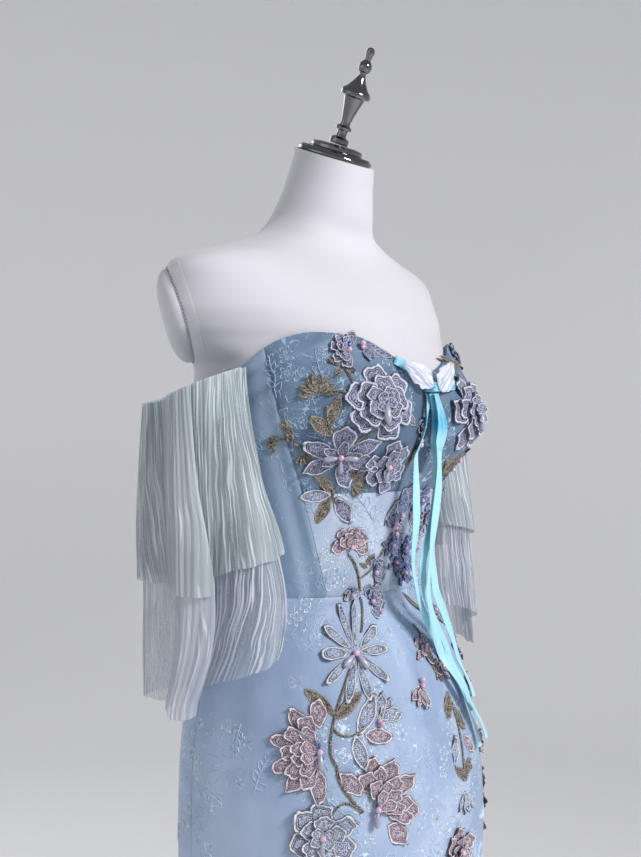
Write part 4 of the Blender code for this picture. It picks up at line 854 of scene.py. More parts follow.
# Stems of metal thread, through three places each
BODICE_STEMS = table(
    "start bend end",
    ((-35.7, 1.077), (-30.5, 1.062), (-28.6, 1.042)),
    ((-29.8, 1.054), (-20.0, 1.066), (-9.5, 1.092)),
    ((-63.5, 1.177), (-59.0, 1.175), (-54.5, 1.166)),
    ((-60.5, 1.184), (-60.8, 1.178), (-58.0, 1.174)),
    ((-50.0, 1.214), (-44.0, 1.219), (-38.0, 1.213)),
    ((-47.0, 1.206), (-46.6, 1.192), (-44.0, 1.184)),
    ((-37.5, 1.174), (-35.0, 1.18), (-31.0, 1.184)),
    ((-41.0, 1.24), (-38.5, 1.228), (-38.5, 1.222)),
    ((-43.5, 1.135), (-44.0, 1.128), (-42.0, 1.122)), ((20.0, 1.14), (27.0, 1.125), (30.0, 1.108)),
)
SKIRT_STEMS = table(
    "start bend end",
    ((-28.6, 1.038), (-28.1, 1.027), (-31.0, 1.01)),
    ((-38.0, 0.982), (-43.0, 0.955), (-45.0, 0.938)),
    ((-45.0, 0.938), (-46.0, 0.918), (-44.0, 0.905)),
    ((-44.0, 0.905), (-42.4, 0.888), (-36.0, 0.867)),
    ((-45.2, 0.936), (-41.0, 0.929), (-35.0, 0.933)),
    ((-46.5, 0.862), (-42.0, 0.875), (-36.5, 0.866)), ((8.0, 0.95), (10.0, 0.915), (8.5, 0.872)),
    ((3.0, 1.01), (6.0, 0.985), (4.0, 0.962)),
)


def swung(turn, x, y):
    """A flat place turned by an angle in radians."""
    return x * math.cos(turn) - y * math.sin(turn), x * math.sin(turn) + y * math.cos(turn)


def beside(angle, z, across, up):
    """The angle and height of a place at a distance across and up the cloth from another."""
    return angle + np.degrees(across / float(gown_radius(angle, z))), z + up


PETAL_SIDES = (14, 34)
SIDES_PER_METRE = 1600
# Rings of a petal as shares of its size, the last two above one another
PETAL_RINGS = (0.02, 0.40, 0.68, 0.84, 0.91, 0.97, 1.0, 1.0)
RIM_PLACE = 0.91
RIM_HEIGHT = 0.0007
RIM_WAVE = 0.0013
RIM_FULL_WIDTH = 0.006
CURL_ASIDE = 0.0034
PETAL_WALL = 0.0015
PETAL_LEAST_LIFT = 0.0004


def petal(work, motif, tier, direction, grow, lift, seed):
    """One petal as a padded patch: a domed middle, a raised rim and a side down to the cloth."""
    form, half = SHAPES[tier.shape], motif.size / 2
    length, width = tier.length * half * grow, tier.width * half * (2 - grow)
    sides = int(np.clip(PETAL_SIDES[0] + SIDES_PER_METRE * length, *PETAL_SIDES))
    turn = np.linspace(0, math.tau, sides, endpoint=False)[None, :]
    rim = np.array(PETAL_RINGS)[:, None]
    c, s = np.cos(turn), np.sin(turn)
    first, second = math.tau * jitter(seed), math.tau * jitter(seed + 11)
    ripple = 1 + form.ruffle * np.cos(form.waves * turn + first)
    ripple = ripple + 0.4 * form.ruffle * np.cos((form.waves + 4) * turn + second)
    x = c * ripple * length * rim
    y = np.sign(s) * np.abs(s) ** (1 + form.sharp) * (1 + form.egg * c) * ripple * width * rim
    wide, tall = STRETCH.get(motif.kind, (1.0, 1.0))
    across, up = swung(math.radians(direction), tier.away * half + x, y)
    place = beside(motif.angle, motif.z, wide * across, tall * up)
    crest = min(1.0, width / RIM_FULL_WIDTH)
    dome = 0.0004 * np.cos(rim * math.pi / 2) + RIM_HEIGHT * crest * bell(rim - RIM_PLACE, 0.06)
    curl = tier.rise * (0.5 + 1.1 * jitter(seed + 3)) * np.clip(x / length, -1, 1)
    tilt = CURL_ASIDE * (jitter(seed + 5) - 0.5) * y / width
    wave = RIM_WAVE * crest * np.sin(5 * turn + first) * rim**3
    height = np.maximum(lift + curl + tilt + wave + dome, PETAL_LEAST_LIFT)
    height[-1] = np.maximum(height[-2] - PETAL_WALL, 0.0001)
    places = joined((length + width) / 2 * turn, rim)
    work.grid(skin(*place, height), places, TINTS.index(motif.tint), wrap=True)


def flower(work, motif, seed):
    """Every tier of a flower. A size is its width; a leaf's is its length."""
    for level, tier in enumerate(FLOWERS[motif.kind]):
        for i in range(tier.count):
            number = seed * 100 + level * 20 + i
            loose = jitter(number) - 0.5
            spread = tier.arc / tier.count
            direction = motif.turn + spread * (i + 0.5 + 0.42 * loose) - tier.arc / 2
            grow = 1 + 0.26 * (jitter(number + 7) - 0.5)
            petal(work, motif, tier, direction, grow, tier.lift + 0.0005 * (i % 2), number)


def ball(work, centre, size, outwards, slot, sides=12, rings=8):
    """A bead: a ball, or a drop where its last size is larger than the others."""
    turn = np.linspace(0, math.tau, sides, endpoint=False)[None, :]
    rise = np.linspace(0.02, math.pi - 0.02, rings)[:, None]
    up = Vector(outwards).normalized()
    side = up.orthogonal().normalized()
    wide = np.sin(rise) * (1 - 0.35 * np.cos(rise) * (size[1] > size[0]))
    x, y = wide * np.cos(turn) * size[0], wide * np.sin(turn) * size[0]
    axes = np.array([tuple(axis) for axis in (side, up.cross(side), up)])
    points = joined(x, y, np.cos(rise) * size[1]) @ axes
    places = joined(turn * size[0], rise * size[1])
    work.grid(points + np.array(centre), places, slot, wrap=True, flip=True)


def bead(work, angle, z, radius, lift, tint):
    ball(work, skin(angle, z, lift), (radius, radius), (0, 0, 1), BEAD_TINTS.index(tint))


def drop(work, angle, z, length, lift, turn, tint):
    """A drop bead that lies on the cloth, its thick end away from the flower's middle."""
    reach = swung(math.radians(turn), length / 2 + 0.0015, 0.0)
    start, centre = skin(angle, z, lift), skin(*beside(angle, z, *reach), lift)
    ball(work, centre, (length * 0.19, length / 2), start - centre, BEAD_TINTS.index(tint))


def bead_up(work, motif, seed):
    middle = MIDDLES.get(motif.kind)
    if not middle or motif.tint == "bronze":
        return
    place = (work, motif.angle, motif.z)
    if middle.bead:
        bead(*place, middle.bead, middle.lift, "pink")
    for i in range(middle.drops):
        turn = -90 + (i - (middle.drops - 1) / 2) * 85 + 24 * (jitter(seed) - 0.5)
        drop(*place, middle.length, middle.lift - 0.0005, turn, "grey")
    for i in range(middle.blues):
        turn = 80 + 190 * i + 20 * jitter(seed + 2)
        drop(*place, 0.006, middle.lift - 0.001, turn, "blue")


def unit(vectors):
    return vectors / (np.linalg.norm(vectors, axis=-1, keepdims=True) + 1e-12)


def tube(work, place, lift, radius, slot=0, sides=5):
    """A thread along places on the cloth."""
    points = skin(*place, lift)
    along = unit(np.gradient(points, axis=0))
    across = unit(np.cross(along, unit(points * (1.0, 1.0, 0.0))))
    turn = np.linspace(0, math.tau, sides, endpoint=False)[None, :, None]
    ring = np.cross(across, along)[:, None] * np.cos(turn) + across[:, None] * np.sin(turn)
    length = np.cumsum(np.linalg.norm(np.diff(points, axis=0, prepend=points[:1]), axis=1))
    places = joined(length[:, None], turn[..., 0] / 8)
    work.grid(points[:, None] + radius * ring, places, slot, wrap=True, flip=True)


STEM_RADIUS = 0.0009
STEM_TWISTS = 40


def stem(work, row, slot):
    """Two threads twisted round each other."""
    t = np.linspace(0, 1, 22)
    ends = (row.start, [2 * b - (a + c) / 2 for a, b, c in zip(*row)], row.end)
    weights = ((1 - t) ** 2, 2 * t * (1 - t), t**2)
    angle, z = (sum(w * end[k] for w, end in zip(weights, ends)) for k in (0, 1))
    per_metre = np.degrees(1 / gown_radius(angle, z))
    for side in (-1, 1):
        twist = side * 0.0005 * np.sin(t * STEM_TWISTS)
        lift = 0.0008 + 0.0003 * side * np.cos(t * STEM_TWISTS)
        tube(work, (angle + twist * per_metre, z + twist * 0.5), lift, STEM_RADIUS, slot)


# Tracery sprigs: a bent stem with outlined leaves on both sides
SPRIG_LEAVES = 7
SPRIG_ROWS = 21
SPRIG_TOP_Z = 1.225
SPRIG_STEP_Z = 0.056
SPRIG_STEP = 0.056
SPRIG_CLOSE_Z = 0.76
SPRIG_SPARSER_BELOW = 2.2
SPRIG_LEAST_SIZE = 0.026
SPRIG_SIZE_SPREAD = 0.020
SPRIG_DROP = 0.012
CORD_LIFT = 0.0002
CORD_RADIUS = 0.00032


def sprig(work, angle, z, turn, size, bend):
    """Thin corded outlines, no thicker than a thread."""

    def lay(x, y):
        place = beside(angle, z, *swung(math.radians(turn), x, y))
        tube(work, place, CORD_LIFT, CORD_RADIUS, sides=3)

    t = np.linspace(0, 1, 11)
    lay(size * t, bend * size * np.sin(2.6 * t))
    u = np.linspace(-1, 1, 9)
    for i in range(SPRIG_LEAVES):
        share = 0.12 + 0.86 * i / SPRIG_LEAVES
        tilt = (1 if i % 2 else -1) * (0.9 - 0.4 * share)
        long = size * 0.26 * (1.1 - 0.5 * share)
        for edge in (1, -1):
            half = edge * long * 0.24 * (1 - u**2) * (1 + 0.12 * np.cos(8 * u))
            x, y = swung(tilt, long * (1 + u) / 2, half)
            lay(size * share + x, bend * size * math.sin(2.6 * share) + y)


def sprigs_over(name, thread, low, high):
    work = Patchwork()
    for row in range(SPRIG_ROWS):
        z = SPRIG_TOP_Z - row * SPRIG_STEP_Z
        if not low <= z < high:
            continue
        apart = SPRIG_STEP * (1 if z > SPRIG_CLOSE_Z else SPRIG_SPARSER_BELOW)
        around = round(math.tau * float(gown_radius(60, z)) / apart)
        for i in range(around):
            seed = row * 40 + i
            angle = 360 * (i + 0.5 * (row % 2) + 0.2 * jitter(seed)) / around - 180
            turn = 360 * jitter(seed + 5)
            size = SPRIG_LEAST_SIZE + SPRIG_SIZE_SPREAD * jitter(seed + 9)
            place = z - SPRIG_DROP * jitter(seed + 2)
            # A sprig that points down needs less room under the neckline
            room = float(neckline(angle)) - place
            downwards = math.sin(math.radians(turn)) < -0.3
            if room > size or (downwards and room > 0.4 * size):
                sprig(work, angle, place, turn, size, 0.24 * (jitter(seed + 1) - 0.5))
    return settle(work.build(name, thread))


def dress(name, motifs, stems, beads):
    """The flowers and leaves of one part of the gown, and the beads on them."""
    flowers, jewels = Patchwork(), Patchwork()
    for seed, motif in enumerate(motifs):
        flower(flowers, motif, seed + 1)
        bead_up(jewels, motif, seed)
    for row in stems:
        stem(flowers, row, TINTS.index("bronze"))
    for row in beads:
        bead(jewels, *row)
    made = (flowers.build("applique_" + name, *PETALS), jewels.build("beads_" + name, *JEWELS))
    return [settle(piece) for piece in made]


# Off-the-shoulder sleeves
SLEEVE_WALL = 0.0018
BAND_HEIGHT = 0.036
SLEEVE_TOP_Z = 1.2455
SLEEVE_FALL_OUTWARDS = 0.0208
SLEEVE_FALL_BACKWARDS = 0.0226
SLEEVE_ROUNDNESS = 2.6
SLEEVE_CHART_RADIUS = 0.048
SLEEVE_COLUMNS = 504
SLEEVE_ROWS = 26
PLEATS = 28
BAND_RIBS = 46
PLEAT_TOP_DEPTH = 0.0011
PLEAT_HEM_DEPTH = 0.0021
FINE_PLEATS = 3
TIER_GAP = 0.0042
SLEEVE_LOOPS = tables(
    "z near far front back",
    right=[
        (0.955, 0.15, 0.207, 0.07, 0.04), (0.985, 0.145, 0.211, 0.09, 0.041),
        (1.01, 0.139, 0.213, 0.103, 0.042), (1.04, 0.135, 0.214, 0.107, 0.042),
        (1.09, 0.135, 0.214, 0.097, 0.042), (1.15, 0.138, 0.21, 0.072, 0.04),
        (1.243, 0.1388, 0.206, 0.0535, 0.036),
    ],
    left=[
        (0.955, 0.155, 0.228, 0.056, 0.06), (0.985, 0.15, 0.224, 0.057, 0.062),
        (1.04, 0.138, 0.214, 0.058, 0.064), (1.09, 0.136, 0.209, 0.056, 0.06),
        (1.15, 0.138, 0.204, 0.05, 0.055), (1.243, 0.1388, 0.201, 0.047, 0.045),
    ],
)
SLEEVE_FOLDS = table(
    "turn depth spread lean",
    (-75, 0.008, 16, 0), (-38, -0.007, 10, 0), (-8, 0.007, 14, 6), (-112, -0.007, 12, 0),
    (-145, 0.008, 15, -10), (165, 0.006, 14, 8),
)
# Folds keep off the side that faces the gown
FOLD_FREE_OF_GOWN = -0.75
# How far the pleats wander round from the top edge to the hem
SLEEVE_DRIFT = table(
    "turn degrees",
    (-180, 0), (-90, 0), (-45, 6), (0, 15), (24, 17), (39, 11), (52, 1), (86, 0), (112, -12),
    (145, -6), (180, 0),
)
# A flat fold that laps forwards over the cloth beside it
FLAP = (51, 88)
FLAP_DEPTH = 0.010
FLAP_LAP_DEG = 11.0
# How much of its rise a hem has, round the sleeve
HEM_RISE = table(
    "turn share",
    (-180, 0.0), (-110, 0.3), (-60, 0.9), (-30, 1.0), (5, 0.82), (30, 0.55), (42, 0.36),
    (54, -0.08), (68, -0.14), (84, 0.02), (140, 0.05), (180, 0.0),
)
TIER_CUTS = table(
    "name outer_z front_z inset starts cloth",
    ("upper", 1.058, 1.088, 0.0, 0.0, TULLE),
    ("lower", 0.958, 1.004, SLEEVE_WALL + TIER_GAP, BAND_HEIGHT, LOW_TULLE),
)


def gate(value, softness):
    """Rises from 0 to 1 as a value passes 0."""
    return 1 / (1 + np.exp(np.clip(-value / softness, -50, 50)))


def sleeve_top(turn):
    """The top edge falls outwards and backwards."""
    s, c = sincos(turn)
    return SLEEVE_TOP_Z - SLEEVE_FALL_OUTWARDS * (1 + s) / 2 - SLEEVE_FALL_BACKWARDS * (1 - c) / 2


def sleeve_skin(word, turn, z, inset, pleat):
    """Places on a sleeve. Turns go as on the gown, with 90 degrees outwards."""
    near, far, front, back = [smooth(SLEEVE_LOOPS[word], z, column) for column in (1, 2, 3, 4)]
    half = (front + back) / 2
    radius = ellipse_radius(turn, (far - near) / 2, half, half, SLEEVE_ROUNDNESS)
    depth = (SLEEVE_TOP_Z - z) / (SLEEVE_TOP_Z - TIER_CUTS[1].outer_z)
    free, leant = sincos(turn)[0] > FOLD_FREE_OF_GOWN, turn
    for fold in SLEEVE_FOLDS:
        share = depth * bell(wrapped(-turn - fold.turn), fold.spread) * free
        radius = radius + fold.depth * share
        leant = leant - fold.lean * share
    around = wrapped(turn)
    flap = np.clip(1.6 * depth, 0, 1) * gate(around - FLAP[0], 0.7) * gate(FLAP[1] - around, 2)
    leant = leant - FLAP_LAP_DEG * flap * bell(around - FLAP[0], 7)
    swell = PLEAT_TOP_DEPTH + (PLEAT_HEM_DEPTH - PLEAT_TOP_DEPTH) * depth
    radius = radius + FLAP_DEPTH * flap + pleat * swell - inset
    s, c = sincos(leant)
    side = 1 if word == "left" else -1
    x = side * ((far + near) / 2 + radius * s)
    return joined(x, -(front - back) / 2 - radius * c, z)


def sleeve_tier(word, cut):
    turn = np.linspace(0, 360, SLEEVE_COLUMNS, endpoint=False)[None, :]
    share = np.linspace(0, 1, SLEEVE_ROWS)[:, None]
    top = sleeve_top(turn) - (cut.starts + SEAM_GAP if cut.starts else 0.0)
    drift = smooth(SLEEVE_DRIFT, wrapped(turn), 1)
    lift = smooth(HEM_RISE, wrapped(turn + drift), 1)
    around = np.radians(turn)
    phase = np.radians(turn + 4 * np.sin(3 * share + around) * share) * PLEATS
    uneven = 0.70 + 0.30 * np.sin(around * 5 + 1)
    pleat = -0.35 * np.cos(phase) * uneven + 0.22 * np.cos(phase * FINE_PLEATS + 2 * share)
    hem = cut.outer_z + (cut.front_z - cut.outer_z) * lift + 0.0004 * np.cos(phase[-1:] + 1.0)
    z = top + (hem - top) * share
    outer = sleeve_skin(word, turn + drift * share, z, cut.inset, pleat)
    outer = np.concatenate([outer, outer[:, :1]], axis=1)
    chart = np.linspace(0, math.tau, SLEEVE_COLUMNS + 1)[None, :] * SLEEVE_CHART_RADIUS
    work = Patchwork()
    work.grid(outer, joined(chart, z[:, :1]))
    name = f"sleeve_{word}_{cut.name}"
    piece = work.build(name + "_tulle", cut.cloth)
    declare(piece, name)


def sleeve_band(word):
    turn = np.linspace(0, 360, 253)[None, :]
    share = np.linspace(0, 1, 9)[:, None]
    inset = PLEAT_TOP_DEPTH * 2 + SLEEVE_WALL + SEAM_GAP
    z = sleeve_top(turn) - BAND_HEIGHT * share
    ripple = 0.0003 * np.sin(np.radians(turn) * BAND_RIBS + 3 * share)
    skins = [sleeve_skin(word, turn, z, inset + wall - ripple, 0.0) for wall in (0, WALL)]
    # The last column closes the ring
    for one in skins:
        one[:, -1] = one[:, 0]
    places = joined(np.radians(turn) * SLEEVE_CHART_RADIUS, z)
    piece = walled(f"sleeve_{word}_band_cloth", *skins, places, BAND)
    declare(piece, f"sleeve_{word}_band")


# The dress form
CLEARANCE = 0.0022
WAIST_CLEARANCE = 0.0006
FORM_BOTTOM_Z = 0.800
FORM_TOP = table(
    "z side front back arm shift tilt",
    (1.243, 0.137, 0.112, 0.096, 0.0, 0.0, 0.0), (1.252, 0.135, 0.109, 0.096, 0.014, 0.0, 0.0),
    (1.262, 0.136, 0.106, 0.0955, 0.022, 0.0, 0.0), (1.275, 0.14, 0.1, 0.095, 0.027, 0.0, 0.0),
    (1.292, 0.144, 0.092, 0.092, 0.028, 0.0, 0.0), (1.312, 0.146, 0.079, 0.086, 0.027, 0.0, 0.0),
    (1.33, 0.143, 0.065, 0.077, 0.031, 0.0, 0.0), (1.341, 0.133, 0.056, 0.069, 0.026, 0.0, 0.0),
    (1.35, 0.112, 0.05, 0.062, 0.012, 0.0, 0.0), (1.36, 0.085, 0.0465, 0.056, 0.003, 0.0, 0.0),
    (1.371, 0.062, 0.0455, 0.05, 0.0, -0.001, 3.0),
    (1.385, 0.049, 0.0455, 0.0465, 0.0, -0.005, 7.0),
    (1.402, 0.043, 0.0425, 0.043, 0.0, -0.011, 12.0),
    (1.422, 0.0385, 0.039, 0.0395, 0.0, -0.016, 17.0),
    (1.444, 0.036, 0.037, 0.037, 0.0, -0.02, 21.0),
)
ARM_ANGLE = 98.0
ARM_SPREAD_DEG = 13.0
CHEST_SNUG_Z = 1.266
CHEST_FREE_Z = 1.290
CAP_DEPTH = 0.015
CAP_FULLNESS = 0.62
FORM_COLUMNS = 180
FORM_ROWS = 64
FORM_LOW_ROWS = 60
CAP_STEPS = 14
STITCH_STEP = 0.0029
STITCH_INSIDE = 0.0016
STITCH_SIZE = (0.00042, 0.0009)


def form_rows():
    """Rings of the torso: under the gown first, then the chest, shoulders and neck."""
    angle = np.linspace(0, 360, FORM_COLUMNS, endpoint=False)[None, :]
    low = np.linspace(FORM_BOTTOM_Z, FORM_TOP[0].z - 0.004, FORM_LOW_ROWS)[:, None]
    ease = CLEARANCE - (CLEARANCE - WAIST_CLEARANCE) * bell(low - WAIST_Z, 0.030)
    under = at(angle, low, gown_radius(angle, low) - WALL - ease)
    z = np.linspace(FORM_TOP[0].z, FORM_TOP[-1].z, FORM_ROWS)[:, None]
    side, front, back, arm, shift, tilt = [smooth(FORM_TOP, z, k) for k in range(1, 7)]
    fade = np.clip((CHEST_FREE_Z - z) / (CHEST_FREE_Z - CHEST_SNUG_Z), 0, 1)
    signed = wrapped(angle)
    radius = ellipse_radius(angle, side, front, back) - (WALL + CLEARANCE) * fade
    radius = radius + cup(signed, z) + arm * bell(np.abs(signed) - ARM_ANGLE, ARM_SPREAD_DEG)
    above = at(angle, z, radius)
    above[..., 2] += above[..., 1] * np.tan(np.radians(tilt))
    above[..., 1] += shift
    return np.concatenate([under, above])


def cut_arms(thing):
    """Cuts the armholes flat and gives each cut's border in order, with its direction."""
    body = bmesh.new()
    body.from_mesh(thing.data)
    borders = {}
    for side, word in ((1, "left"), (-1, "right")):
        outwards = arm_direction(side)
        near = [v for v in body.verts if v.co.z > SECTIONS[-2].z - 0.0005 and side * v.co.x > 0.05]
        chosen = set(near)
        edges = [e for e in body.edges if chosen.issuperset(e.verts)]
        faces = [f for f in body.faces if chosen.issuperset(f.verts)]
        cut = bmesh.ops.bisect_plane(
            body,
            geom=near + edges + faces,
            dist=1e-6,
            plane_co=Vector((side * ARM_CENTRE[0], *ARM_CENTRE[1:])),
            plane_no=outwards,
            clear_outer=True,
        )
        rims = [g for g in cut["geom_cut"] if isinstance(g, bmesh.types.BMEdge)]
        made = bmesh.ops.contextual_create(body, geom=rims)
        border = np.array([tuple(v.co) for v in made["faces"][0].verts])
        borders[word] = (border, np.array(tuple(outwards)))
    bmesh.ops.recalc_face_normals(body, faces=body.faces)
    body.to_mesh(thing.data)
    body.free()
    return borders


def shoulder_cap(word, border, out):
    """A padded cap over an armhole; the stitches round its seam are laid by cap_stitches."""
    centre = border.mean(axis=0)
    turn = np.linspace(0, math.pi / 2, CAP_STEPS + 1)[:, None, None]
    away = out * (SEAM_GAP + CAP_DEPTH * np.sin(turn))
    size = np.maximum(np.cos(turn), 1e-9) ** CAP_FULLNESS
    length = np.linalg.norm(border - np.roll(border, 1, axis=0), axis=1).cumsum()
    work = Patchwork()
    places = joined(length[None, :], turn[..., 0] * 0.05)
    work.grid(centre + (border - centre) * size + away, places, wrap=True)
    work.cap(0, len(border), flip=True)
    settle(work.build(f"form_cap_{word}_jersey", FORM), f"form_cap_{word}")


def cap_stitches(work, tree, border, out):
    """Short stitches round an armhole, on the torso just inside the seam."""
    loop = np.concatenate([border, border[:1]])
    length = np.concatenate([[0], np.linalg.norm(np.diff(loop, axis=0), axis=1).cumsum()])
    spots = np.arange(0, length[-1], STITCH_STEP)
    places, ahead = (
        joined(*(np.interp((spots + move) % length[-1], length, axis) for axis in loop.T))
        for move in (0.0, 0.0005)
    )
    for place, onwards in zip(places, ahead):
        centre, normal, _, _ = tree.find_nearest(Vector(place - STITCH_INSIDE * out))
        centre = centre + 0.0001 * normal
        ball(work, centre, STITCH_SIZE, onwards - place, slot=0, sides=5, rings=4)


def build_form():
    work, seams = Patchwork(), Patchwork()
    rings = form_rows()
    work.closed(rings, joined(np.linspace(0, 1, FORM_COLUMNS)[None, :], rings[..., 2]))
    torso = work.build("form_torso_jersey", FORM)
    armholes = cut_arms(torso)
    corners = [tuple(v.co) for v in torso.data.vertices]
    tree = BVHTree.FromPolygons(corners, [tuple(p.vertices) for p in torso.data.polygons])
    for word, armhole in armholes.items():
        shoulder_cap(word, *armhole)
        cap_stitches(seams, tree, *armhole)
    settle(seams.build("form_seam_stitches", STITCH))
    settle(torso, "form_torso")


# Turned pieces: radius and height along their own axis
NECK_TOP = Vector((0, FORM_TOP[-1].shift, FORM_TOP[-1].z))
NECK_TILT = math.radians(FORM_TOP[-1].tilt)
FINIAL_TILT = NECK_TILT + math.radians(5.0)
NECK_PLATE = table(
    "radius height",
    (0.035, 0.0), (0.0362, 0.001), (0.036, 0.003), (0.033, 0.006), (0.0262, 0.0066),
    (0.025, 0.0074), (0.025, 0.01), (0.0235, 0.0112), (0.018, 0.0125),
)
FINIAL = table(
    "radius height",
    (0.009, 0.0), (0.0094, 0.002), (0.009, 0.005), (0.0052, 0.007), (0.0048, 0.01), (0.005, 0.013),
    (0.0075, 0.014), (0.0078, 0.016), (0.005, 0.018), (0.0048, 0.021), (0.0055, 0.026),
    (0.0078, 0.036), (0.01, 0.0445), (0.014, 0.046), (0.0145, 0.048), (0.0138, 0.0505),
    (0.01, 0.054), (0.006, 0.06), (0.0032, 0.066), (0.0034, 0.068), (0.0058, 0.0705),
    (0.0064, 0.0735), (0.0058, 0.0765), (0.003, 0.08), (0.0034, 0.084), (0.0042, 0.087),
    (0.0036, 0.0905), (0.0014, 0.092),
)
POLE = table(
    "radius height",
    (0.032, 0.0), (0.0318, 0.005), (0.0295, 0.0085), (0.017, 0.015), (0.015, 0.017), (0.0125, 0.02),
    (0.0125, 0.765), (0.0235, 0.77), (0.024, 0.772), (0.024, 0.789),
)
BASE = table(
    "radius height",
    (0.188, 0.0), (0.1935, 0.0008), (0.195, 0.003), (0.195, 0.007), (0.1935, 0.0092), (0.188, 0.01),
)
# A step of a profile shorter than this gets a place in its middle
LONGEST_HALVED = 0.02


def turned(name, node, profile, foot, tilt, material, sides=64):
    """A turned piece on a foot point, leaning forwards by a tilt, with a face over each end."""
    rows = [profile[0]]
    for before, after in zip(profile, profile[1:]):
        if math.dist(before, after) < LONGEST_HALVED:
            rows.append([(a + b) / 2 for a, b in zip(before, after)])
        rows.append(after)
    angle = np.linspace(0, 360, sides, endpoint=False)[None, :]
    radius, height = (np.array(column)[:, None] for column in zip(*rows))
    lean = np.array(Matrix.Rotation(tilt, 3, "X"))
    points = at(angle, height, radius) @ lean.T + np.array(tuple(foot))
    work = Patchwork()
    work.closed(points, joined(np.radians(angle) * 0.02, height))
    settle(work.build(name, material), node)


def build_stand():
    upwards = Matrix.Rotation(NECK_TILT, 3, "X") @ Vector((0, 0, 1))
    plate_foot = NECK_TOP + upwards * SEAM_GAP
    turned("plate_turned", "neck_plate", NECK_PLATE, plate_foot, NECK_TILT, CHROME)
    # The finial leans more than its plate, so its lower edge is lifted clear
    lifted = FINIAL[0].radius * math.sin(FINIAL_TILT - NECK_TILT)
    finial_foot = plate_foot + upwards * (NECK_PLATE[-1].height + SEAM_GAP + lifted)
    turned("finial_turned", "finial", FINIAL, finial_foot, FINIAL_TILT, CHROME)
    turned("base_turned", "stand_base", BASE, Vector(), 0.0, METAL, 128)
    pole_foot = Vector((0, 0, BASE[-1].height + SEAM_GAP))
    turned("pole_turned", "stand_pole", POLE, pole_foot, 0.0, METAL)


# Ribbon bow
RIBBON_WIDTH = 0.0085
RIBBON_BOW = 0.0016
RIBBON_WALL = 0.0004
RIBBON_LAYER = 0.0026
RIBBON_COLUMNS = 5
ORGANZA_WALL = 0.0003
PLUMB_REACH = 0.1275
CLEAR_OF_PETALS = 0.0052
KNOT_Z = 1.224
KNOT_HALF = 0.005
KNOT_DEPTH = 0.0145
TAIL_STATIONS = 90
TAILS = tables(
    "x z",
    a=[
        (-0.004, 1.218), (-0.014, 1.2), (-0.018, 1.16), (-0.017, 1.11), (-0.022, 1.07),
        (-0.014, 1.04), (0.0, 1.014), (0.024, 0.985), (0.044, 0.94), (0.058, 0.894),
    ],
    b=[
        (-0.001, 1.218), (0.004, 1.185), (0.008, 1.15), (0.001, 1.1), (-0.011, 1.066),
        (-0.009, 1.045), (0.008, 1.016), (0.028, 0.985), (0.046, 0.93),
    ],
    c=[
        (0.002, 1.218), (0.009, 1.18), (0.008, 1.14), (0.0, 1.085), (0.004, 1.047), (0.018, 1.022),
        (0.037, 0.987), (0.054, 0.94),
    ],
    d=[
        (-0.002, 1.218), (0.007, 1.15), (-0.004, 1.085), (-0.01, 1.045), (-0.003, 1.018),
        (0.003, 1.0), (0.022, 0.966), (0.04, 0.936), (0.06, 0.902),
    ],
)


def gown_front(x, z):
    """How far the gown reaches forwards at a place."""
    angle = np.zeros(np.broadcast(x, z).shape)
    for _ in range(8):
        angle = np.degrees(np.arcsin(x / gown_radius(angle, z)))
    return gown_radius(angle, z) * np.cos(np.radians(angle))


def tail(word, layer):
    rows = sorted((row.z, row.x) for row in TAILS[word])
    z = np.linspace(rows[-1][0], rows[0][0], TAIL_STATIONS)[:, None]
    x = smooth(rows, z, 1)
    turn = np.arctan(np.gradient(x[:, 0], z[:, 0]))[:, None]
    s = np.linspace(-0.5, 0.5, RIBBON_COLUMNS)[None, :]
    width = 0.9 * RIBBON_WIDTH * s
    px, pz = x + width * np.cos(turn), z - width * np.sin(turn)
    reach = np.maximum(PLUMB_REACH, gown_front(px, pz) + CLEAR_OF_PETALS) + layer * RIBBON_LAYER
    twist = 0.0011 * np.sin(52 * z + 2.1 * layer) * s * 2
    curl = RIBBON_BOW * (4 * s**2 - 1) * np.sin(17 * z + 2 * layer)
    outer = joined(px, -(reach + twist + curl + RIBBON_WALL), pz)
    inner = outer + (0, RIBBON_WALL, 0)
    piece = walled(f"ribbon_{word}_satin", outer, inner, joined(s * RIBBON_WIDTH, z), RIBBON)
    declare(piece, f"ribbon_tail_{word}")


def bow_loop(word, start, direction, length, depth):
    """A ribbon loop out from the knot and back over itself."""
    out = np.array(direction) / math.hypot(*direction)
    across = np.array((-out[2], 0, out[0])) / math.hypot(out[0], out[2])
    turn = np.linspace(0, math.tau, 49)[:, None, None]
    s = np.linspace(-0.5, 0.5, RIBBON_COLUMNS)[None, :, None]
    reach = length / 2 * (1 - np.cos(turn))
    lift = depth / 2 * np.sin(turn) * np.abs(np.sin(turn / 2)) ** 0.6
    narrow = 0.45 + 0.55 * np.minimum(1, reach / length * 2)
    ripple = 0.0004 * np.sin(s * 14) * np.sin(turn)
    outer = start + out * reach + np.array((0, 1, 0)) * (lift + ripple)
    outer = outer + across * s * RIBBON_WIDTH * narrow
    inner = outer + np.array((0, RIBBON_WALL, 0)) * np.sign(np.sin(turn) + 1e-9)
    places = joined(s[..., 0], turn[..., 0] * length / 3)
    name = f"ribbon_loop_{word}"
    piece = walled(name + "_satin", outer, inner, places, RIBBON)
    declare(piece, name)


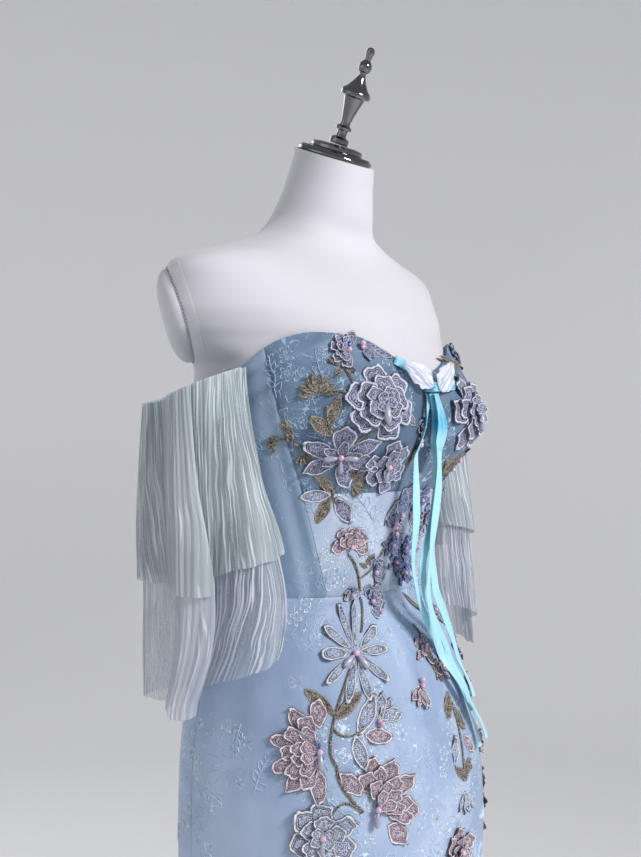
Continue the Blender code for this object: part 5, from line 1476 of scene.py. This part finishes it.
def wing(name, start, direction, length, width, curl):
    """A thin organza petal, crinkled and curled a little outwards."""
    out = np.array((direction[0], 0, direction[1])) / math.hypot(*direction)
    across = np.array((-out[2], 0, out[0]))
    share = np.linspace(0, 1, 34)[:, None, None]
    s = np.linspace(-1, 1, 21)[None, :, None]
    half = width / 2 * (0.14 + 0.86 * np.sin(np.pi * share**0.85) ** 0.9)
    half = half * (1 + 0.07 * np.sin(19 * share + 2 * s) + 0.05 * np.sin(31 * share - 3 * s))
    bowl = 0.0022 * np.sin(np.pi * share) * (1 - s**2) - 0.0007 * np.cos(9 * s + 4 * share) * share
    lift = np.array((0, -1, 0)) * (curl * share**2 + bowl + 0.0008)
    outer = start + out * length * share + across * half * s + lift
    places = joined(s[..., 0] * width, share[..., 0] * length)
    piece = walled(name + "_petal", outer, outer + (0, ORGANZA_WALL, 0), places, ORGANZA)
    declare(piece, name)


def build_bow():
    steps = KNOT_HALF * np.array((-0.7, -0.35, 0.0, 0.35, 0.7))
    back = -(float(gown_front(steps[:, None], KNOT_Z + steps[None, :]).max()) + SEAM_GAP)
    front = back - KNOT_DEPTH
    rise = np.linspace(-1, 1, 15)[:, None]
    turn = np.linspace(0, math.tau, 36, endpoint=False)[None, :]
    square = (np.abs(np.cos(turn)) ** 5 + np.abs(np.sin(turn)) ** 5) ** (-1 / 5)
    body = np.maximum(1 - np.abs(rise) ** 5, 0.0) ** (1 / 5) * (0.93 + 0.07 * np.cos(9 * rise))
    x = KNOT_HALF * body * square * np.cos(turn)
    y = (back + front) / 2 + KNOT_DEPTH / 2 * body * square * np.sin(turn)
    z = KNOT_Z + KNOT_HALF * rise
    work = Patchwork()
    work.grid(joined(x, y, z), joined(turn * 0.01, z), wrap=True)
    settle(work.build("ribbon_knot_satin", RIBBON), "ribbon_knot")
    level = (back + front) / 2 - 0.003
    right, left = (np.array((sign * KNOT_HALF, level, KNOT_Z)) for sign in (-1, 1))
    bow_loop("right", right + (0, 0, 0.003), (-0.84, 0.25, 0.42), 0.045, 0.006)
    bow_loop("left", left, (0.99, 0.0, 0.10), 0.027, 0.006)
    middle = np.array((0, front - SEAM_GAP, KNOT_Z))
    wing("organza_right", middle + (-0.006, 0.002, 0.001), (-0.86, 0.42), 0.043, 0.021, -0.004)
    wing("organza_left", middle + (0.0035, 0, -0.004), (0.42, 0.91), 0.028, 0.026, 0.004)
    for layer, word in enumerate(TAILS):
        tail(word, layer)


# Camera, floor and light
EYE_DISTANCE = 1.150
EYE_DEG = -50
EYE_Z = 1.187
LENS = 50.24
SHIFT_X = 0.0029
FLOOR_SIDES = 96
AIM = Vector((0, 0, 1.05))
LIGHTS = table(
    "name azimuth distance z size power colour",
    ("key", 0, 2.4, 2.4, 0.7, 68, (1.0, 0.98, 0.98)),
    ("fill", -105, 3.0, 1.9, 2.0, 7, (0.94, 0.96, 1.0)),
    ("back", 165, 2.8, 2.6, 1.6, 22, (1.0, 1.0, 1.0)),
)


def build_stage():
    scene = bpy.context.scene
    camera = bpy.data.objects.new("camera", bpy.data.cameras.new("camera"))
    scene.collection.objects.link(camera)
    camera.location = at(EYE_DEG, EYE_Z, EYE_DISTANCE)
    camera.rotation_euler = (math.pi / 2, 0, math.radians(EYE_DEG))
    camera.data.sensor_fit = "VERTICAL"
    camera.data.sensor_height = 36
    camera.data.lens = LENS
    camera.data.shift_x = SHIFT_X
    scene.camera = camera
    s, c = sincos(np.linspace(0, 90, 13))
    radius = np.concatenate([[0.01, 1, 2, 3], 3.2 + 1.4 * s, [4.6]])[:, None]
    height = np.concatenate([[0, 0, 0, 0], 1.4 - 1.4 * c, [3.4]])[:, None]
    bowl = at(np.linspace(0, 360, FLOOR_SIDES, endpoint=False)[None, :], height, radius)
    work = Patchwork()
    work.grid(bowl, bowl[..., :2], wrap=True)
    work.cap(0, FLOOR_SIDES, flip=True)
    work.build("floor", Paint("floor_pale", 0.9).colour((0.95, 0.95, 0.96, 1.0)))
    for row in LIGHTS:
        lamp = bpy.data.lights.new(row.name, "AREA")
        lamp.size, lamp.energy, lamp.color = row.size, row.power, row.colour
        thing = bpy.data.objects.new(row.name, lamp)
        scene.collection.objects.link(thing)
        thing.location = at(row.azimuth, row.z, row.distance)
        thing.rotation_euler = (AIM - thing.location).to_track_quat("-Z", "Y").to_euler()
    world = bpy.data.worlds.new("studio")
    world.use_nodes = True
    background = world.node_tree.nodes["Background"]
    background.inputs["Color"].default_value = (0.80, 0.82, 0.86, 1)
    background.inputs["Strength"].default_value = 0.34
    scene.world = world
    scene.view_settings.view_transform = "Standard"


build_stage()
bodice_trims = dress("bodice", BODICE_MOTIFS, BODICE_STEMS, BODICE_BEADS)
skirt_trims = dress("skirt", SKIRT_MOTIFS, SKIRT_STEMS, SKIRT_BEADS)
bodice_trims.append(sprigs_over("tracery_bodice", CUP_THREAD, WAIST_Z, 2.0))
skirt_trims.append(sprigs_over("tracery_skirt", THREAD, 0.0, WAIST_Z))
TRIMS = {"midriff_front": bodice_trims, "skirt_front": skirt_trims}
for cut in CUTS:
    panel(cut, TRIMS.get(cut.node, ()))
for word in ("left", "right"):
    for tier_cut in TIER_CUTS:
        sleeve_tier(word, tier_cut)
    sleeve_band(word)
build_form()
build_stand()
build_bow()
